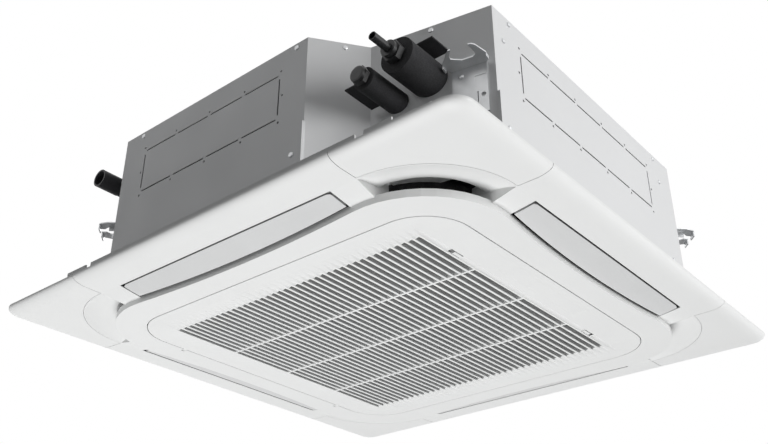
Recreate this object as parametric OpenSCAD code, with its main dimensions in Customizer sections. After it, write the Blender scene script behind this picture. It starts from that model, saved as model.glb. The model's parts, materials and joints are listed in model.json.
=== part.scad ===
// Four-way ceiling cassette air conditioner: casing, cover panel, fan, coil and drain.
// Origin: the centre of the cover panel, in the plane of the ceiling. +Z points up.
// The pipes leave at the (+X, -Y) corner and the drain at the (-X, -Y) corner.

/* [Casing] */
// Side of the square sheet metal casing
casing_side = 840; // [820:5:850]
// Height of the casing, from its lower edge to its top face
casing_height = 256; // [250:2:290]
// Height of the casing's lower edge above the ceiling
casing_lift = 18.5; // [18:0.5:22]
// Length cut off each side at the three plain corners
corner_cut = 158; // [140:2:164]
// Distance of the pipe corner's first fold from the right face, along the front
notch_front = 249; // [240:1:256]
// Distance of the pipe corner's inner fold from the right face
notch_inner = 192.5; // [186:0.5:198]
// Depth of the pipe corner's inner fold behind the front face
notch_depth = 78; // [70:1:84]
// Length of the right face taken off by the pipe corner
notch_side = 116.6; // [112:0.2:124]
// Distance of the seam between right and back plate from the chamfer
seam_offset = 50; // [40:1:60]
// Thickness of the sheet metal
sheet = 1.2; // [0.8:0.1:1.6]
// Width of the flanges folded inwards at the top and bottom edges
flange = 12; // [8:1:14]
// Height of the ribs pressed into the top plate
rib_height = 1.6; // [1:0.2:2.4]
// Width of the ribs pressed into the top plate
rib_width = 14; // [8:1:20]
// Clearance between pieces that rest against each other
seat = 0.3; // [0.2:0.05:0.4]

/* [Knock-outs] */
// Length of the front knock-out
front_knock_length = 319; // [280:1:340]
// Length of the knock-out on the right face
right_knock_length = 402; // [360:1:410]
// Height of the knock-outs
knock_height = 80; // [60:1:90]
// Height of the knock-outs' middle above the casing's lower edge
knock_centre = 172.5; // [165:0.5:178]
// Distance of the front knock-out's middle from the casing's middle, towards the drain corner
front_knock_offset = 44.5; // [30:0.5:50]
// Distance of the right knock-out's middle from the casing's middle, towards the pipe corner
right_knock_offset = 33; // [20:0.5:40]
// Width of the perforation slots
knock_slot = 2.6; // [2:0.2:4]
// Metal left between two perforation slots
knock_bridge = 7; // [5:0.5:10]
// Radius of the screw holes round a knock-out
knock_hole_r = 2; // [1.5:0.1:2.5]
// Distance of the screw holes from the knock-out's edge
knock_hole_gap = 7; // [6:0.5:9]

/* [Hangers] */
// Distance between the hanger bolts along X
hanger_pitch_x = 780; // [776:1:790]
// Distance between the hanger bolts along Y
hanger_pitch_y = 680; // [676:1:690]
// Height of the hanger plates' lower face above the ceiling
hanger_z = 176; // [170:1:182]
// Thickness of the hanger brackets
hanger_t = 2; // [1.6:0.1:2.6]
// Width of a fork at its base
fork_width = 62; // [58:1:66]
// Width of a fork at its tips
fork_tip_width = 52; // [48:1:56]
// Width of a fork's slot round the bolt
fork_slot = 26; // [24:1:30]
// Width of a fork's slot at its mouth
fork_mouth = 12; // [11:0.5:14]
// Reach of a fork beyond its bolt
fork_reach = 22; // [20:0.5:24]
// Height of the lips folded down at the prongs' tips
fork_lip = 9; // [6:0.5:12]
// Height of a bracket's upright leg
leg_height = 84; // [76:1:90]
// Width of the pipe corner's bracket at its fold
pipe_fork_fold = 53; // [48:1:56]

/* [Cover panel] */
// Side of the square cover panel
panel_side = 950; // [930:5:960]
// Radius of the panel's corners in plan
panel_corner_r = 30; // [29.5:0.5:40]
// Height of the upright edge of the panel's lip
lip_edge = 2; // [1:0.5:3]
// Drop of the panel's lip at its ridge
lip_drop = 12.5; // [11:0.5:14]
// Width of the rounded stretch of the lip, from its edge to its ridge
lip_round = 29; // [24:0.5:29.5]
// Width of the panel's lip, from its edge to the air outlets
lip_width = 57; // [52:1:62]
// Drop of the lip at the air outlets
lip_inner_drop = 13; // [12.5:0.5:15]
// Drop of the panel's sloping face at the central island
slope_drop = 20; // [18:0.5:21]
// Wall thickness of the moulded panel
skin = 3; // [2.5:0.1:3.5]
// Drop of the island's face, which is the lowest face of the panel
island_drop = 28; // [26:0.5:30]
// Height of the island's rim at the outlets
island_rim = 12; // [10:0.5:14]
// Distance of the island's edge from the centre, at the middle of a side
island_mid = 366; // [362:1:370]
// Radius of the island's corners
island_corner_r = 136; // [130:1:140]
// Distance of the island's corner centres from the axes
island_corner_c = 242; // [238:1:244]
// Set-back of the duct's inner wall from the island's edge
duct_setback = 34; // [33:0.5:35]
// Height of the panel's duct walls above the ceiling plane
duct_top = 17.7; // [16:0.1:18]
// Radius of the corner outlets' recess
recess_r = 147; // [140:1:148]
// Radius of the corner outlets' slot at its outer edge
recess_slot_r = 97; // [95:1:100]
// Depth of the corner outlets at the casing, measured along the radius
corner_duct = 17; // [14:0.5:18]
// Height of the locating rim behind the lip
rim_height = 20; // [16:0.5:22]
// Height of the rim's lower stretches
rim_low = 7; // [5:0.5:10]
// Thickness of the locating rim
rim_t = 2.5; // [2:0.1:3]
// Distance of the rim from the panel's edge
rim_inset = 15; // [12:0.5:16]
// Spacing of the ribs in the back of the lip
back_rib_pitch = 75; // [60:5:120]
// Thickness of the ribs in the back of the lip
back_rib_t = 2; // [1.5:0.1:2.5]
// Clearance round the corner covers
cover_gap = 0.4; // [0.3:0.05:0.6]
// Thickness of the corner covers
cover_t = 3; // [2.5:0.1:3.5]
// Distance of the corner covers' seams from the panel's middle
cover_seam = 271; // [268:0.5:274]

/* [Air flaps] */
// Half length of an air outlet
outlet_half = 224; // [216:1:226]
// Gap between a flap and the outlet's outer edge
flap_gap = 1.5; // [1.2:0.1:2.5]
// Gap between a flap and the island
flap_inner_gap = 5; // [4:0.5:7]
// Gap at each end of a flap
flap_end_gap = 3.5; // [1.5:0.1:3.6]
// Radius of a flap's outer corners
flap_corner_r = 7; // [3:0.5:9]
// Thickness of a flap
flap_t = 2.6; // [2:0.1:3.2]
// Height of the flap's axis above its outer edge
flap_axis_rise = 6; // [5:0.5:8]
// Radius of the flap's pivot pins
flap_pin_r = 3; // [2.5:0.1:3.5]
// Length of the pivot pins
flap_pin_length = 7; // [6:0.5:8]
// Radial clearance of pins and shafts in their holes
running_gap = 0.08; // [0.04:0.01:0.09]
// Radius of the swing motors
swing_motor_r = 12; // [10:0.5:12]
// Length of the swing motors' bodies
swing_motor_length = 19; // [16:0.5:22]

/* [Intake grille] */
// Half side of the opening for the grille
grille_hole = 325; // [322:0.5:326]
// Corner radius of the opening for the grille
grille_hole_r = 78.3; // [70:0.1:90]
// Gap round the grille
grille_gap = 1.5; // [1.3:0.1:2]
// Drop of the grille's face
grille_drop = 28.5; // [27:0.5:30]
// Wall thickness of the grille
grille_t = 3; // [2.5:0.1:3.5]
// Height of the grille's edge wall
grille_wall = 10.5; // [8:0.5:11]
// Depth of the slats
slat_depth = 12; // [8:0.5:12.5]
// Spacing of the slats
slat_pitch = 13.1; // [12.6:0.1:13.4]
// Width of the openings between slats at the grille's face
slat_gap = 7; // [6:0.1:8]
// Width of the openings between slats at the back
slat_gap_back = 9.4; // [8:0.1:10.5]
// Number of openings between slats
slat_count = 40; // [36:1:40]
// Half length of the slatted field
slat_half = 262; // [250:1:266]
// Length of the tapering grooves beyond the slatted field
groove_length = 36; // [20:1:40]
// Depth of the tapering grooves
groove_depth = 1.6; // [1:0.1:2]
// Spacing of the ribs across the slats
cross_pitch = 133; // [120:1:136]
// Width of the ribs across the slats
cross_width = 4; // [3:0.5:6]
// Length of the plain recess beside the slats
recess_plate_length = 219; // [180:1:230]
// Width of the plain recess beside the slats
recess_plate_width = 28; // [20:1:30]
// Distance of the grille's hinge axis outwards from the edge of the opening
hinge_outset = 5; // [4.8:0.1:5.4]
// Height of the hinge axis above the grille's face
hinge_rise = 3.5; // [3.4:0.1:3.6]
// Radius of the grille's hinge pins
hinge_pin_r = 1.5; // [1.2:0.1:1.7]
// Distance of the hinges from the middle
hinge_y = 200; // [150:5:230]
// Width of the grille's hinge ears
hinge_width = 6; // [5:0.5:8]
// Distance of the latches from the middle
latch_y = 187; // [160:1:200]
// Travel of the latches
latch_travel = 8; // [6:0.5:10]
// Length of a latch's knob
knob_length = 20; // [14:1:24]
// Thickness of the filter's frame
filter_t = 6; // [4:0.5:7]
// Half side of the filter
filter_half = 286; // [270:1:290]
// Spacing of the filter's bars
filter_pitch = 52; // [40:2:80]

/* [Drain pan and bell mouth] */
// Height of the foam drain pan
pan_height = 38; // [34:1:44]
// Depth of the pan's trough
trough_depth = 22; // [18:1:26]
// Thickness of the foam lining of the casing
lining = 15; // [12:0.5:16]
// Thickness of the foam under the top plate
lining_top = 6; // [4:0.5:8]
// Radius of the pan's central opening
pan_hole_r = 228; // [222:1:232]
// Radius of the bell mouth's throat
throat_r = 150; // [140:1:156]
// Radius of the bell mouth's flare
flare_r = 38; // [30:1:40]
// Wall thickness of the bell mouth
bell_t = 2.5; // [2:0.1:3]
// Height of the throat above the casing's lower edge
throat_height = 66; // [62:1:70]

/* [Coil] */
// Outer half width of the coil
coil_half = 322; // [318:1:324]
// Depth of the coil
coil_depth = 40; // [30:1:42]
// Outer bend radius of the coil
coil_bend_r = 180; // [170:1:190]
// Distance of the coil's two ends from the axes
coil_end = 213; // [190:1:216]
// Radius of the coil's tubes
tube_r = 3.5; // [3:0.1:4]
// Spacing of the tubes
tube_pitch = 25.4; // [22:0.2:26]
// Thickness of the tube plates
tube_plate_t = 1.5; // [1:0.1:2]
// Spacing of the grooves that stand for the fins
fin_groove_pitch = 20; // [16:1:40]
// Width of the grooves that stand for the fins
fin_groove = 1.2; // [1:0.1:2]

/* [Fan] */
// Radius of the fan
fan_r = 235; // [225:1:240]
// Height of the fan's blades at their outer edge
blade_height = 112; // [100:1:116]
// Number of blades
blade_count = 7; // [5:1:9]
// Thickness of the blades
blade_t = 3; // [2:0.5:4]
// Angle through which the blades lean back
blade_sweep = 38; // [20:1:50]
// Radius of the fan's inlet
inlet_r = 157; // [157:0.5:160]
// Wall thickness of the fan
fan_t = 2.5; // [2:0.1:3]
// Radius of the fan's hub
hub_r = 92; // [88:1:98]
// Radius of the fan motor
motor_r = 70; // [60:1:74]
// Height of the fan motor
motor_height = 84; // [70:1:88]
// Radius of the fan motor's shaft
shaft_r = 6; // [5:0.5:8]
// Radius at which the motor's feet are held
motor_foot_r = 84; // [80:1:86]
// Height of the motor's rubber bushes
bush_height = 9; // [7:0.5:10]

/* [Pipes] */
// Radius of the gas pipe
gas_r = 6.35; // [6.35:0.05:9.5]
// Radius of the liquid pipe
liquid_r = 4.75; // [3.2:0.05:6.4]
// Distance of the gas pipe from the right face
gas_inset = 98.4; // [94:0.2:102]
// Height of the gas pipe above the ceiling
gas_z = 176.5; // [172:0.5:180]
// Distance of the liquid pipe from the right face
liquid_inset = 149; // [146:0.5:151]
// Height of the liquid pipe above the ceiling
liquid_z = 155; // [151:0.5:158]
// Radius of the foam sleeve on the gas pipe
gas_sleeve_r = 28; // [24:1:29]
// Radius of the foam sleeve on the liquid pipe
liquid_sleeve_r = 18; // [15:1:19]
// Length of the foam sleeves outside the casing
sleeve_length = 74; // [50:1:80]
// Reach of the gas sleeve's lap strip from the pipe's axis
gas_lap = 41.5; // [34:0.5:46]
// Distance of the gas sleeve's lap strip from the sleeve's end
gas_lap_start = 26; // [10:1:40]
// Reach of the liquid sleeve's lap strip from the pipe's axis
liquid_lap = 36; // [24:0.5:38]
// Thickness of the foam sleeves' lap strips
lap_t = 2.4; // [2:0.2:4]
// Reach of the gas pipe beyond its sleeve
gas_reach = 52; // [50:1:64]
// Length of the gas pipe's bare end
gas_end = 28.5; // [20:0.5:30]
// Length of a flare nut
nut_length = 17; // [14:0.5:22]
// Width across the flats of the gas pipe's flare nut
gas_nut_af = 29; // [26:0.5:32]
// Radius of the liquid pipe's capped nut
liquid_nut_r = 15; // [12:0.5:16]
// Radius of the drain socket
drain_r = 16; // [13:0.5:17]
// Wall thickness of the drain socket
drain_wall = 3; // [2:0.1:3.5]
// Distance of the drain socket from the left face
drain_inset = 103; // [98:1:110]
// Height of the drain socket above the ceiling
drain_z = 218; // [214:1:222]
// Length of the drain socket outside the casing
drain_length = 65; // [50:1:70]
// Length of the socket's end that a hose is pushed over
drain_grip = 42; // [30:1:46]

/* [Drain pump] */
// Radius of the pump's housing
pump_r = 33; // [28:1:34]
// Distance of the pump's axis from the casing's middle, along X and along Y
pump_c = 298; // [297:0.5:299]
// Radius of the sump under the pump
sump_r = 20; // [18:0.5:20]
// Radius of the float
float_r = 9; // [7:0.5:10]
// Travel of the float
float_travel = 9; // [6:0.5:10]
// Distance of the float from the casing's middle, along X
float_x = 338; // [336:1:340]
// Distance of the float from the casing's middle, along Y
float_y = 252; // [250:1:254]
// Radius of the drain hose
hose_r = 11; // [9:0.5:12]

/* [Control box] */
// Width of the control box
box_width = 72; // [64:1:74]
// Length of the control box
box_length = 250; // [220:5:260]
// Height of the control box
box_height = 44; // [38:1:46]
// Thickness of the control box's sheet
box_t = 1.5; // [1:0.1:2]

/* [Hidden] */
// Plays along the pipes: lap strips to casing face, sleeves to nuts
gas_lap_gap = 8;
liquid_lap_gap = 15;
gas_nut_gap = 3;
liquid_nut_gap = 4;
gas_body_r = gas_r + 0.4;

// Fine steps for true curves
$fn = 72;
// A little more than the material, so that a cut breaks through
through = 1;
// Steps in each rounded stretch of an outline
arc_steps = 12;

// Casing levels and faces
half = casing_side / 2;
case_top = casing_lift + casing_height;
plate_top = case_top - sheet;
panel_half = panel_side / 2;
outlet_edge = panel_half - lip_width;

// Corner points of the casing, counterclockwise from the drain corner
casing = [
    [-half + corner_cut, -half],
    [half - notch_front, -half],
    [half - notch_inner, -half + notch_depth],
    [half, -half + notch_side],
    [half, half - corner_cut - seam_offset],
    [half, half - corner_cut],
    [half - corner_cut, half],
    [-half + corner_cut, half],
    [-half, half - corner_cut],
    [-half, -half + corner_cut]
];
front_corners = [9, 0, 1];
pipe_corners = [1, 2, 3];
right_corners = [3, 4];
back_corners = [4, 5, 6, 7];
left_corners = [7, 8, 9];

// The unit vector to the left of a vector, and the outline moved inwards by d
function left_of(v) = [-v.y, v.x] / norm(v);
function inset(p, d) = let (n = len(p)) [for (i = [0:n - 1])
    let (m = left_of(p[i] - p[(i + n - 1) % n]), k = left_of(p[(i + 1) % n] - p[i]))
    p[i] + d * (m + k) / (1 + m * k)];
function turned(p, a) = [p.x * cos(a) - p.y * sin(a), p.x * sin(a) + p.y * cos(a)];
function reversed(p) = [for (i = [len(p) - 1:-1:0]) p[i]];

// A square outline with rounded corners: half side h, corner radius r
function rounded_square(h, r) = [for (k = [0:3], i = [0:arc_steps])
    turned([h - r, h - r] + r * [cos(90 * i / arc_steps), sin(90 * i / arc_steps)], 90 * k)];

// The island's outline grown by d: round corners joined by sides that bow inwards
island_bow_r = ((pow(island_corner_c, 2) - pow(island_corner_r, 2)
    + pow(island_mid - island_corner_c, 2)) / 2) / (island_corner_r - island_mid + island_corner_c);
island_bow_y = island_mid + island_bow_r;
island_bow_a = atan(island_corner_c / (island_bow_y - island_corner_c));
function island(d) = [for (k = [0:3], p = concat(island_corner(d), island_bow(d))) turned(p, 90 * k)];
function island_corner(d) = [for (i = [0:arc_steps])
    let (a = -island_bow_a + (90 + 2 * island_bow_a) * i / arc_steps)
    [island_corner_c, island_corner_c] + (island_corner_r + d) * [cos(a), sin(a)]];
function island_bow(d) = [for (i = [1:arc_steps - 1])
    let (a = island_bow_a * (1 - 2 * i / arc_steps))
    [(island_bow_r - d) * sin(a), island_bow_y - (island_bow_r - d) * cos(a)]];

// Levels from the ceiling plane
bottom_flange_top = casing_lift + sheet;
pan_bottom = bottom_flange_top + seat;
pan_top = pan_bottom + pan_height;
lining_inset = sheet + seat + lining;
lining_bottom = pan_top + seat;
lining_top_z = plate_top - sheet - seat;
lining_ceiling = lining_top_z - lining_top;
coil_bottom = pan_top + seat;
coil_top = lining_ceiling - seat;

// Air outlets and ducts
slope = (slope_drop - lip_inner_drop) / (outlet_edge - island_mid - 4);
function slope_z(d) = -lip_inner_drop - slope * (outlet_edge - d);
duct_outer = half - lining_inset - 2;
duct_inner = island_mid - duct_setback;
duct_lip = 6;
window_limit = lining_inset + 0.5;
deck_t = 3;

// Flap axis and swing motor
flap_outer = outlet_edge - flap_gap;
flap_inner = island_mid + flap_inner_gap;
flap_d = (flap_outer + flap_inner) / 2;
flap_z = -lip_inner_drop + flap_axis_rise;
flap_end = outlet_half - flap_end_gap;
motor_rise = 9;
motor_gap = 4;
motor_stub_r = flap_pin_r / 2;

// Grille, hinge and latch
grille_half = grille_hole - grille_gap;
grille_r = grille_hole_r - grille_gap;
grille_back = -grille_drop + grille_t;
hinge_x = -grille_hole - hinge_outset;
hinge_z = -grille_drop + hinge_rise;
hinge_ear_r = hinge_rise - 0.5;
hinge_play = 0.5;
hinge_pin_grip = 4;
slat_x0 = -slat_half;
groove_x = slat_x0 + slat_count * slat_pitch;
slat_back = -grille_drop + slat_depth;
slat_wall = 3;
latch_plate_t = 2;
latch_play = 0.3;
knob_width = 5.6;
recess_plate_x = slat_half + 19;
latch_post = [8, 6];
latch_head = 13;
keeper_gap = 1.5;
latch_lug_z = [-12, -9];
latch_post_x = grille_half - 23.5;
filter_bottom = slat_back + seat;
filter_top = filter_bottom + filter_t;

// Drain pan, bell mouth and fan
trough_play = 8;
pan_floor = pan_top - trough_depth;
throat_z = casing_lift + throat_height;
fan_lap = 5;
fan_inlet_z = throat_z - fan_lap;
shroud_rise = 30;
fan_plate_z = fan_inlet_z + shroud_rise + blade_height;
hub_floor_z = fan_plate_z - 78;
motor_top = plate_top - 2 * seat - bush_height;
motor_bottom = motor_top - motor_height;
shaft_top = motor_bottom + 56;
bell_bottom = pan_bottom - seat - bell_t;

// Control box and panel screws
box_far = coil_half - coil_depth - 2 * trough_play;
box_bottom = casing_lift - 16;
box_top = box_bottom + box_height;
screw_r = 2.5;
screw_hole_r = 2.8;
screw_depth = 14;
screw_d = duct_inner - skin - 11;

// Screw and sheet colours
zinc = [0.78, 0.79, 0.8];
casing_grey = [0.72, 0.73, 0.74];
panel_white = [0.94, 0.94, 0.93];
flap_grey = [0.84, 0.85, 0.85];
foam_black = [0.13, 0.13, 0.14];
foam_white = [0.9, 0.92, 0.92];
copper = [0.78, 0.47, 0.32];
brass = [0.8, 0.66, 0.35];
plastic_black = [0.16, 0.16, 0.17];
fitting_black = [0.2, 0.2, 0.2];
foam_dark = [0.22, 0.22, 0.23];

module prism(points, z0, z1) {
    translate([0, 0, z0])
        linear_extrude(z1 - z0)
            polygon(points);
}

// Copies of a piece on the four sides of the panel, the first on the back side
module four_sides() {
    for (k = [0:3])
        rotate(90 * k)
            children();
}

// A wall along X with a section given as points of distance and height
module run(section, length) {
    rotate([90, 0, 90])
        linear_extrude(length, center = true)
            polygon(section);
}

module screw_head(r = 4.2, h = 2.2) {
    crown = 0.4;
    rotate_extrude()
        polygon([[0, 0], [r, 0], [r, h * crown], [r * 0.8, h * 0.8], [r * 0.4, h], [0, h]]);
}

// A stretch of casing between two insets of its outline
module band(corners, from, to, z0, z1) {
    outer = inset(casing, from);
    inner = inset(casing, to);
    prism(concat([for (i = corners) outer[i]], reversed([for (i = corners) inner[i]])), z0, z1);
}

// A side plate with the flanges that stiffen it and carry the pan and the top plate
module side_plate(corners) {
    band(corners, 0, sheet, casing_lift, plate_top);
    band(corners, 0, sheet + flange, plate_top - sheet, plate_top);
    band(corners, 0, sheet + flange, casing_lift, bottom_flange_top);
}

// The cuts of a knock-out, on a face that looks along -Y through the origin
module knock_out(length, cells) {
    depth = 4 * sheet;
    cell = length / cells;
    hole_x = length / 2 + knock_hole_gap;
    hole_z = knock_height / 2 + knock_hole_gap;
    translate([0, depth / 2, casing_lift + knock_centre]) {
        for (i = [0:cells - 1], s = [-1, 1])
            translate([-length / 2 + cell * (i + 0.5), 0, s * knock_height / 2])
                cube([cell - knock_bridge, 2 * depth, knock_slot], center = true);
        for (s = [-1, 1])
            translate([s * length / 2, 0, 0])
                cube([knock_slot, 2 * depth, knock_height - 2 * knock_bridge], center = true);
        rotate([90, 0, 0])
            for (s = [-1, 1]) {
                translate([s * hole_x, 0, -depth])
                    cylinder(r = knock_hole_r, h = 2 * depth);
                for (i = [0:cells])
                    translate([-length / 2 + cell * i + sign(i - cells / 2) * 2, s * hole_z, -depth])
                        cylinder(r = knock_hole_r, h = 2 * depth);
            }
    }
}

module front_plate() {
    color(casing_grey)
        difference() {
            side_plate(front_corners);
            translate([-front_knock_offset, -half, 0])
                knock_out(front_knock_length, 4);
            drain_place()
                cylinder(r = drain_r + seat, h = 4 * flange, center = true);
        }
}

module right_plate() {
    color(casing_grey)
        difference() {
            side_plate(right_corners);
            translate([half, -right_knock_offset, 0])
                rotate(90)
                    knock_out(right_knock_length, 5);
        }
}

module back_plate() {
    color(casing_grey)
        difference() {
            side_plate(back_corners);
            translate([0, half, 0])
                rotate(180)
                    knock_out(front_knock_length, 4);
        }
}

module left_plate() {
    color(casing_grey)
        difference() {
            side_plate(left_corners);
            translate([-half, 0, 0])
                rotate(-90)
                    knock_out(right_knock_length, 5);
        }
}

// The pipe corner's outer face: distance along it from the inner fold, and out from it
pipe_fold = casing[2];
pipe_dir = (casing[3] - casing[2]) / norm(casing[3] - casing[2]);
pipe_angle = atan2(pipe_dir.y, pipe_dir.x);
pipe_face_length = norm(casing[3] - casing[2]);
gas_x = half - gas_inset;
liquid_x = half - liquid_inset;
function pipe_face_y(x) = pipe_fold.y + (x - pipe_fold.x) * pipe_dir.y / pipe_dir.x;
module on_pipe_face() {
    translate([pipe_fold.x, pipe_fold.y, 0])
        rotate(pipe_angle)
            children();
}

module pipe_corner_plate() {
    rim = 2;
    tab = 4.5;
    lap = 2;
    tab_height = 103;
    color(casing_grey)
        difference() {
            union() {
                side_plate(pipe_corners);
                translate([casing[1].x, casing[1].y - tab, casing_lift])
                    cube([sheet, tab + lap, tab_height]);
                translate([casing[3].x - lap, casing[3].y - sheet, casing_lift])
                    cube([tab + lap, sheet, tab_height]);
            }
            translate([gas_x, pipe_face_y(gas_x), gas_z])
                rotate([90, 0, 0])
                    cylinder(r = gas_sleeve_r - rim, h = 8 * flange, center = true);
            translate([liquid_x, pipe_face_y(liquid_x), liquid_z])
                rotate([90, 0, 0])
                    cylinder(r = liquid_sleeve_r - rim, h = 8 * flange, center = true);
        }
}

// The top plate, with a ring and four spokes pressed outwards round the motor
module top_plate() {
    ring_r = motor_foot_r + 46;
    spoke_end = half - 60;
    spoke_start = ring_r + 24;
    edge = 22;
    color(casing_grey)
        difference() {
            union() {
                prism(casing, plate_top, case_top);
                translate([0, 0, plate_top])
                    linear_extrude(sheet + rib_height) {
                        difference() {
                            circle(ring_r);
                            circle(ring_r - rib_width);
                        }
                        for (k = [0:3])
                            rotate(90 * k)
                                translate([spoke_start, -rib_width / 2])
                                    square([spoke_end - spoke_start, rib_width]);
                        difference() {
                            polygon(inset(casing, edge));
                            polygon(inset(casing, edge + rib_width));
                        }
                    }
            }
            bush_places()
                translate([0, 0, plate_top - through])
                    cylinder(r = 3, h = sheet + 2 * through);
        }
}

// Screws of the casing: place on a face, height and the face's turn
module wall_screw(x, y, z, turn) {
    translate([x, y, z])
        rotate([90, 0, turn])
            screw_head();
}

module casing_screws() {
    top_row = case_top - 8.5;
    low_row = case_top - 200;
    mid_row = case_top - 50;
    near = 25;
    color(zinc) {
        wall_screw(-216, -half, top_row, 0);
        wall_screw(148.5, -half, top_row, 0);
        wall_screw(148.5, -half, low_row, 0);
        wall_screw(half, -half + notch_side + near, mid_row, 90);
        wall_screw(half, -half + notch_side + near, low_row, 90);
        wall_screw(half, -half + notch_side + near + 18, top_row, 90);
        wall_screw(half, casing[4].y - 10, top_row, 90);
        wall_screw(half, casing[4].y + 3, mid_row, 90);
        wall_screw(half, casing[4].y + 13, low_row, 90);
        for (s = [-1, 1]) {
            wall_screw(s * 216, half, top_row, 180);
            wall_screw(s * 216, half, low_row, 180);
            wall_screw(-half, s * 216, top_row, -90);
            wall_screw(-half, s * 216, low_row, -90);
        }
        for (s = [0.16, 0.84])
            on_pipe_face()
                translate([s * pipe_face_length, 0, top_row])
                    rotate([90, 0, 0])
                        screw_head();
    }
}

// A corner face of the casing: origin in its middle, +X outwards
module on_chamfer(sx, sy) {
    c = half - corner_cut / 2;
    translate([sx * c, sy * c, 0])
        rotate(atan2(sy, sx))
            children();
}

// A fork that hangs on a bolt: plate with a slot, folded tips and an upright leg
module fork(out, side) {
    tip = out + fork_reach;
    shoulder = tip - 16;
    root = out - fork_slot / 2 - 4;
    side_lip = 7;
    slot = [
        [tip + through, -fork_mouth / 2], [tip - 8, -fork_mouth / 2], [tip - 15, -fork_slot / 2],
        [root + 5, -fork_slot / 2], [root, -fork_slot / 4], [root, fork_slot / 4],
        [root + 5, fork_slot / 2], [tip - 15, fork_slot / 2], [tip - 8, fork_mouth / 2],
        [tip + through, fork_mouth / 2]
    ];
    translate([0, side, 0]) {
        difference() {
            prism([[0, -fork_width / 2], [shoulder, -fork_width / 2], [tip - 3, -fork_tip_width / 2],
                [tip, -fork_tip_width / 2 + 3], [tip, fork_tip_width / 2 - 3],
                [tip - 3, fork_tip_width / 2], [shoulder, fork_width / 2], [0, fork_width / 2]],
                hanger_z, hanger_z + hanger_t);
            prism(slot, hanger_z - through, hanger_z + hanger_t + through);
        }
        for (s = [-1, 1]) {
            lip_width_here = (fork_tip_width - fork_mouth) / 2 - 4;
            translate([tip - hanger_t, s * (fork_mouth / 2 + 1 + lip_width_here / 2) - lip_width_here / 2,
                hanger_z - fork_lip])
                cube([hanger_t, lip_width_here, fork_lip + hanger_t / 2]);
            translate([root + 5, s * (fork_slot / 2 + hanger_t / 2) - hanger_t / 2, hanger_z - side_lip])
                cube([tip - root - 22, hanger_t, side_lip + hanger_t / 2]);
        }
        difference() {
            translate([0, -fork_width / 2, hanger_z + hanger_t - leg_height])
                cube([hanger_t, fork_width, leg_height]);
            for (s = [-1, 1], z = [22, 62])
                translate([-through, s * 20, hanger_z - z])
                    rotate([0, 90, 0])
                        cylinder(r = 2.4, h = hanger_t + 2 * through);
        }
        for (s = [-1, 1], z = [22, 62])
            translate([hanger_t, s * 20, hanger_z - z])
                rotate([0, 90, 0])
                    screw_head();
    }
}

hanger_x = hanger_pitch_x / 2;
hanger_y = hanger_pitch_y / 2;
// Distance of a hanger bolt from the corner face, and its shift along that face
hanger_out = (hanger_x + hanger_y - 2 * half + corner_cut) / sqrt(2);
hanger_side = (hanger_x - hanger_y) / sqrt(2);

module hanger_bracket_1() {
    color(zinc)
        on_chamfer(1, 1)
            fork(hanger_out, -hanger_side);
}

module hanger_bracket_2() {
    color(zinc)
        on_chamfer(-1, 1)
            fork(hanger_out, hanger_side);
}

module hanger_bracket_3() {
    color(zinc)
        on_chamfer(-1, -1)
            fork(hanger_out, -hanger_side);
}

// The bracket over the pipes: a wider fork that opens diagonally outwards
module hanger_bracket_4() {
    bolt = [(hanger_x - pipe_fold.x) * pipe_dir.x - (hanger_y + pipe_fold.y) * pipe_dir.y,
        (hanger_x - pipe_fold.x) * pipe_dir.y + (hanger_y + pipe_fold.y) * pipe_dir.x];
    fold_start = bolt.x - 0.54 * pipe_fork_fold;
    fold_end = fold_start + pipe_fork_fold;
    side_lip = 5;
    emboss = 0.7;
    color(zinc)
        on_pipe_face() {
            difference() {
                prism([[fold_start, 0], [fold_start - 6, -12], [fold_start - 5, -22],
                    [bolt.x - 17, -bolt.y - 14], [bolt.x - 14, -bolt.y - 17], [bolt.x - 8, -bolt.y - 18],
                    [bolt.x + 16, -bolt.y - 17], [bolt.x + 20, -bolt.y - 16], [bolt.x + 24, -bolt.y - 12],
                    [fold_end + 7, -20], [fold_end + 6, -11], [fold_end, 0]],
                    hanger_z, hanger_z + hanger_t);
                prism([[bolt.x - 9, -bolt.y - 19], [bolt.x - 17, -bolt.y - 6], [bolt.x - 18, -bolt.y + 1],
                    [bolt.x - 5, -bolt.y + 10], [bolt.x + 12, -bolt.y + 10], [bolt.x + 17, -bolt.y + 6],
                    [bolt.x + 17, -bolt.y - 6], [bolt.x + 15, -bolt.y - 19]],
                    hanger_z - through, hanger_z + hanger_t + through);
            }
            for (x = [fold_start - 5.8, fold_end + 6.8 - hanger_t])
                translate([x, -20, hanger_z - side_lip])
                    cube([hanger_t, 10, side_lip + hanger_t / 2]);
            difference() {
                translate([fold_start, -hanger_t, hanger_z + hanger_t - leg_height])
                    cube([pipe_fork_fold, hanger_t, leg_height]);
                translate([fold_end - 19, -hanger_t - through, hanger_z - 38])
                    cube([16, emboss + through, 19]);
                translate([fold_end - 16, -hanger_t - through, hanger_z - 64])
                    cube([1.6, hanger_t + 2 * through, 18]);
                translate([fold_end - 7, -hanger_t - through, hanger_z - 53])
                    rotate([-90, 0, 0])
                        cylinder(r = 3.5, h = hanger_t + 2 * through);
            }
            for (z = [12, 72])
                translate([fold_start + 14, -hanger_t, hanger_z - z])
                    rotate([90, 0, 0])
                        screw_head();
        }
}

// Foam lining inside the side plates and under the top plate
module foam_lining() {
    outer = inset(casing, sheet + seat);
    inner = inset(casing, lining_inset);
    hole_r = motor_foot_r + 14;
    color(foam_white)
        difference() {
            prism(outer, lining_bottom, lining_top_z);
            prism(inner, lining_bottom - through, lining_ceiling);
            translate([0, 0, lining_ceiling - through])
                cylinder(r = hole_r, h = lining_top + 2 * through);
            pipe_places(gas_sleeve_r - 2, liquid_sleeve_r - 2);
            drain_place()
                cylinder(r = drain_r + 2 * seat, h = 8 * flange, center = true);
        }
}

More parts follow.
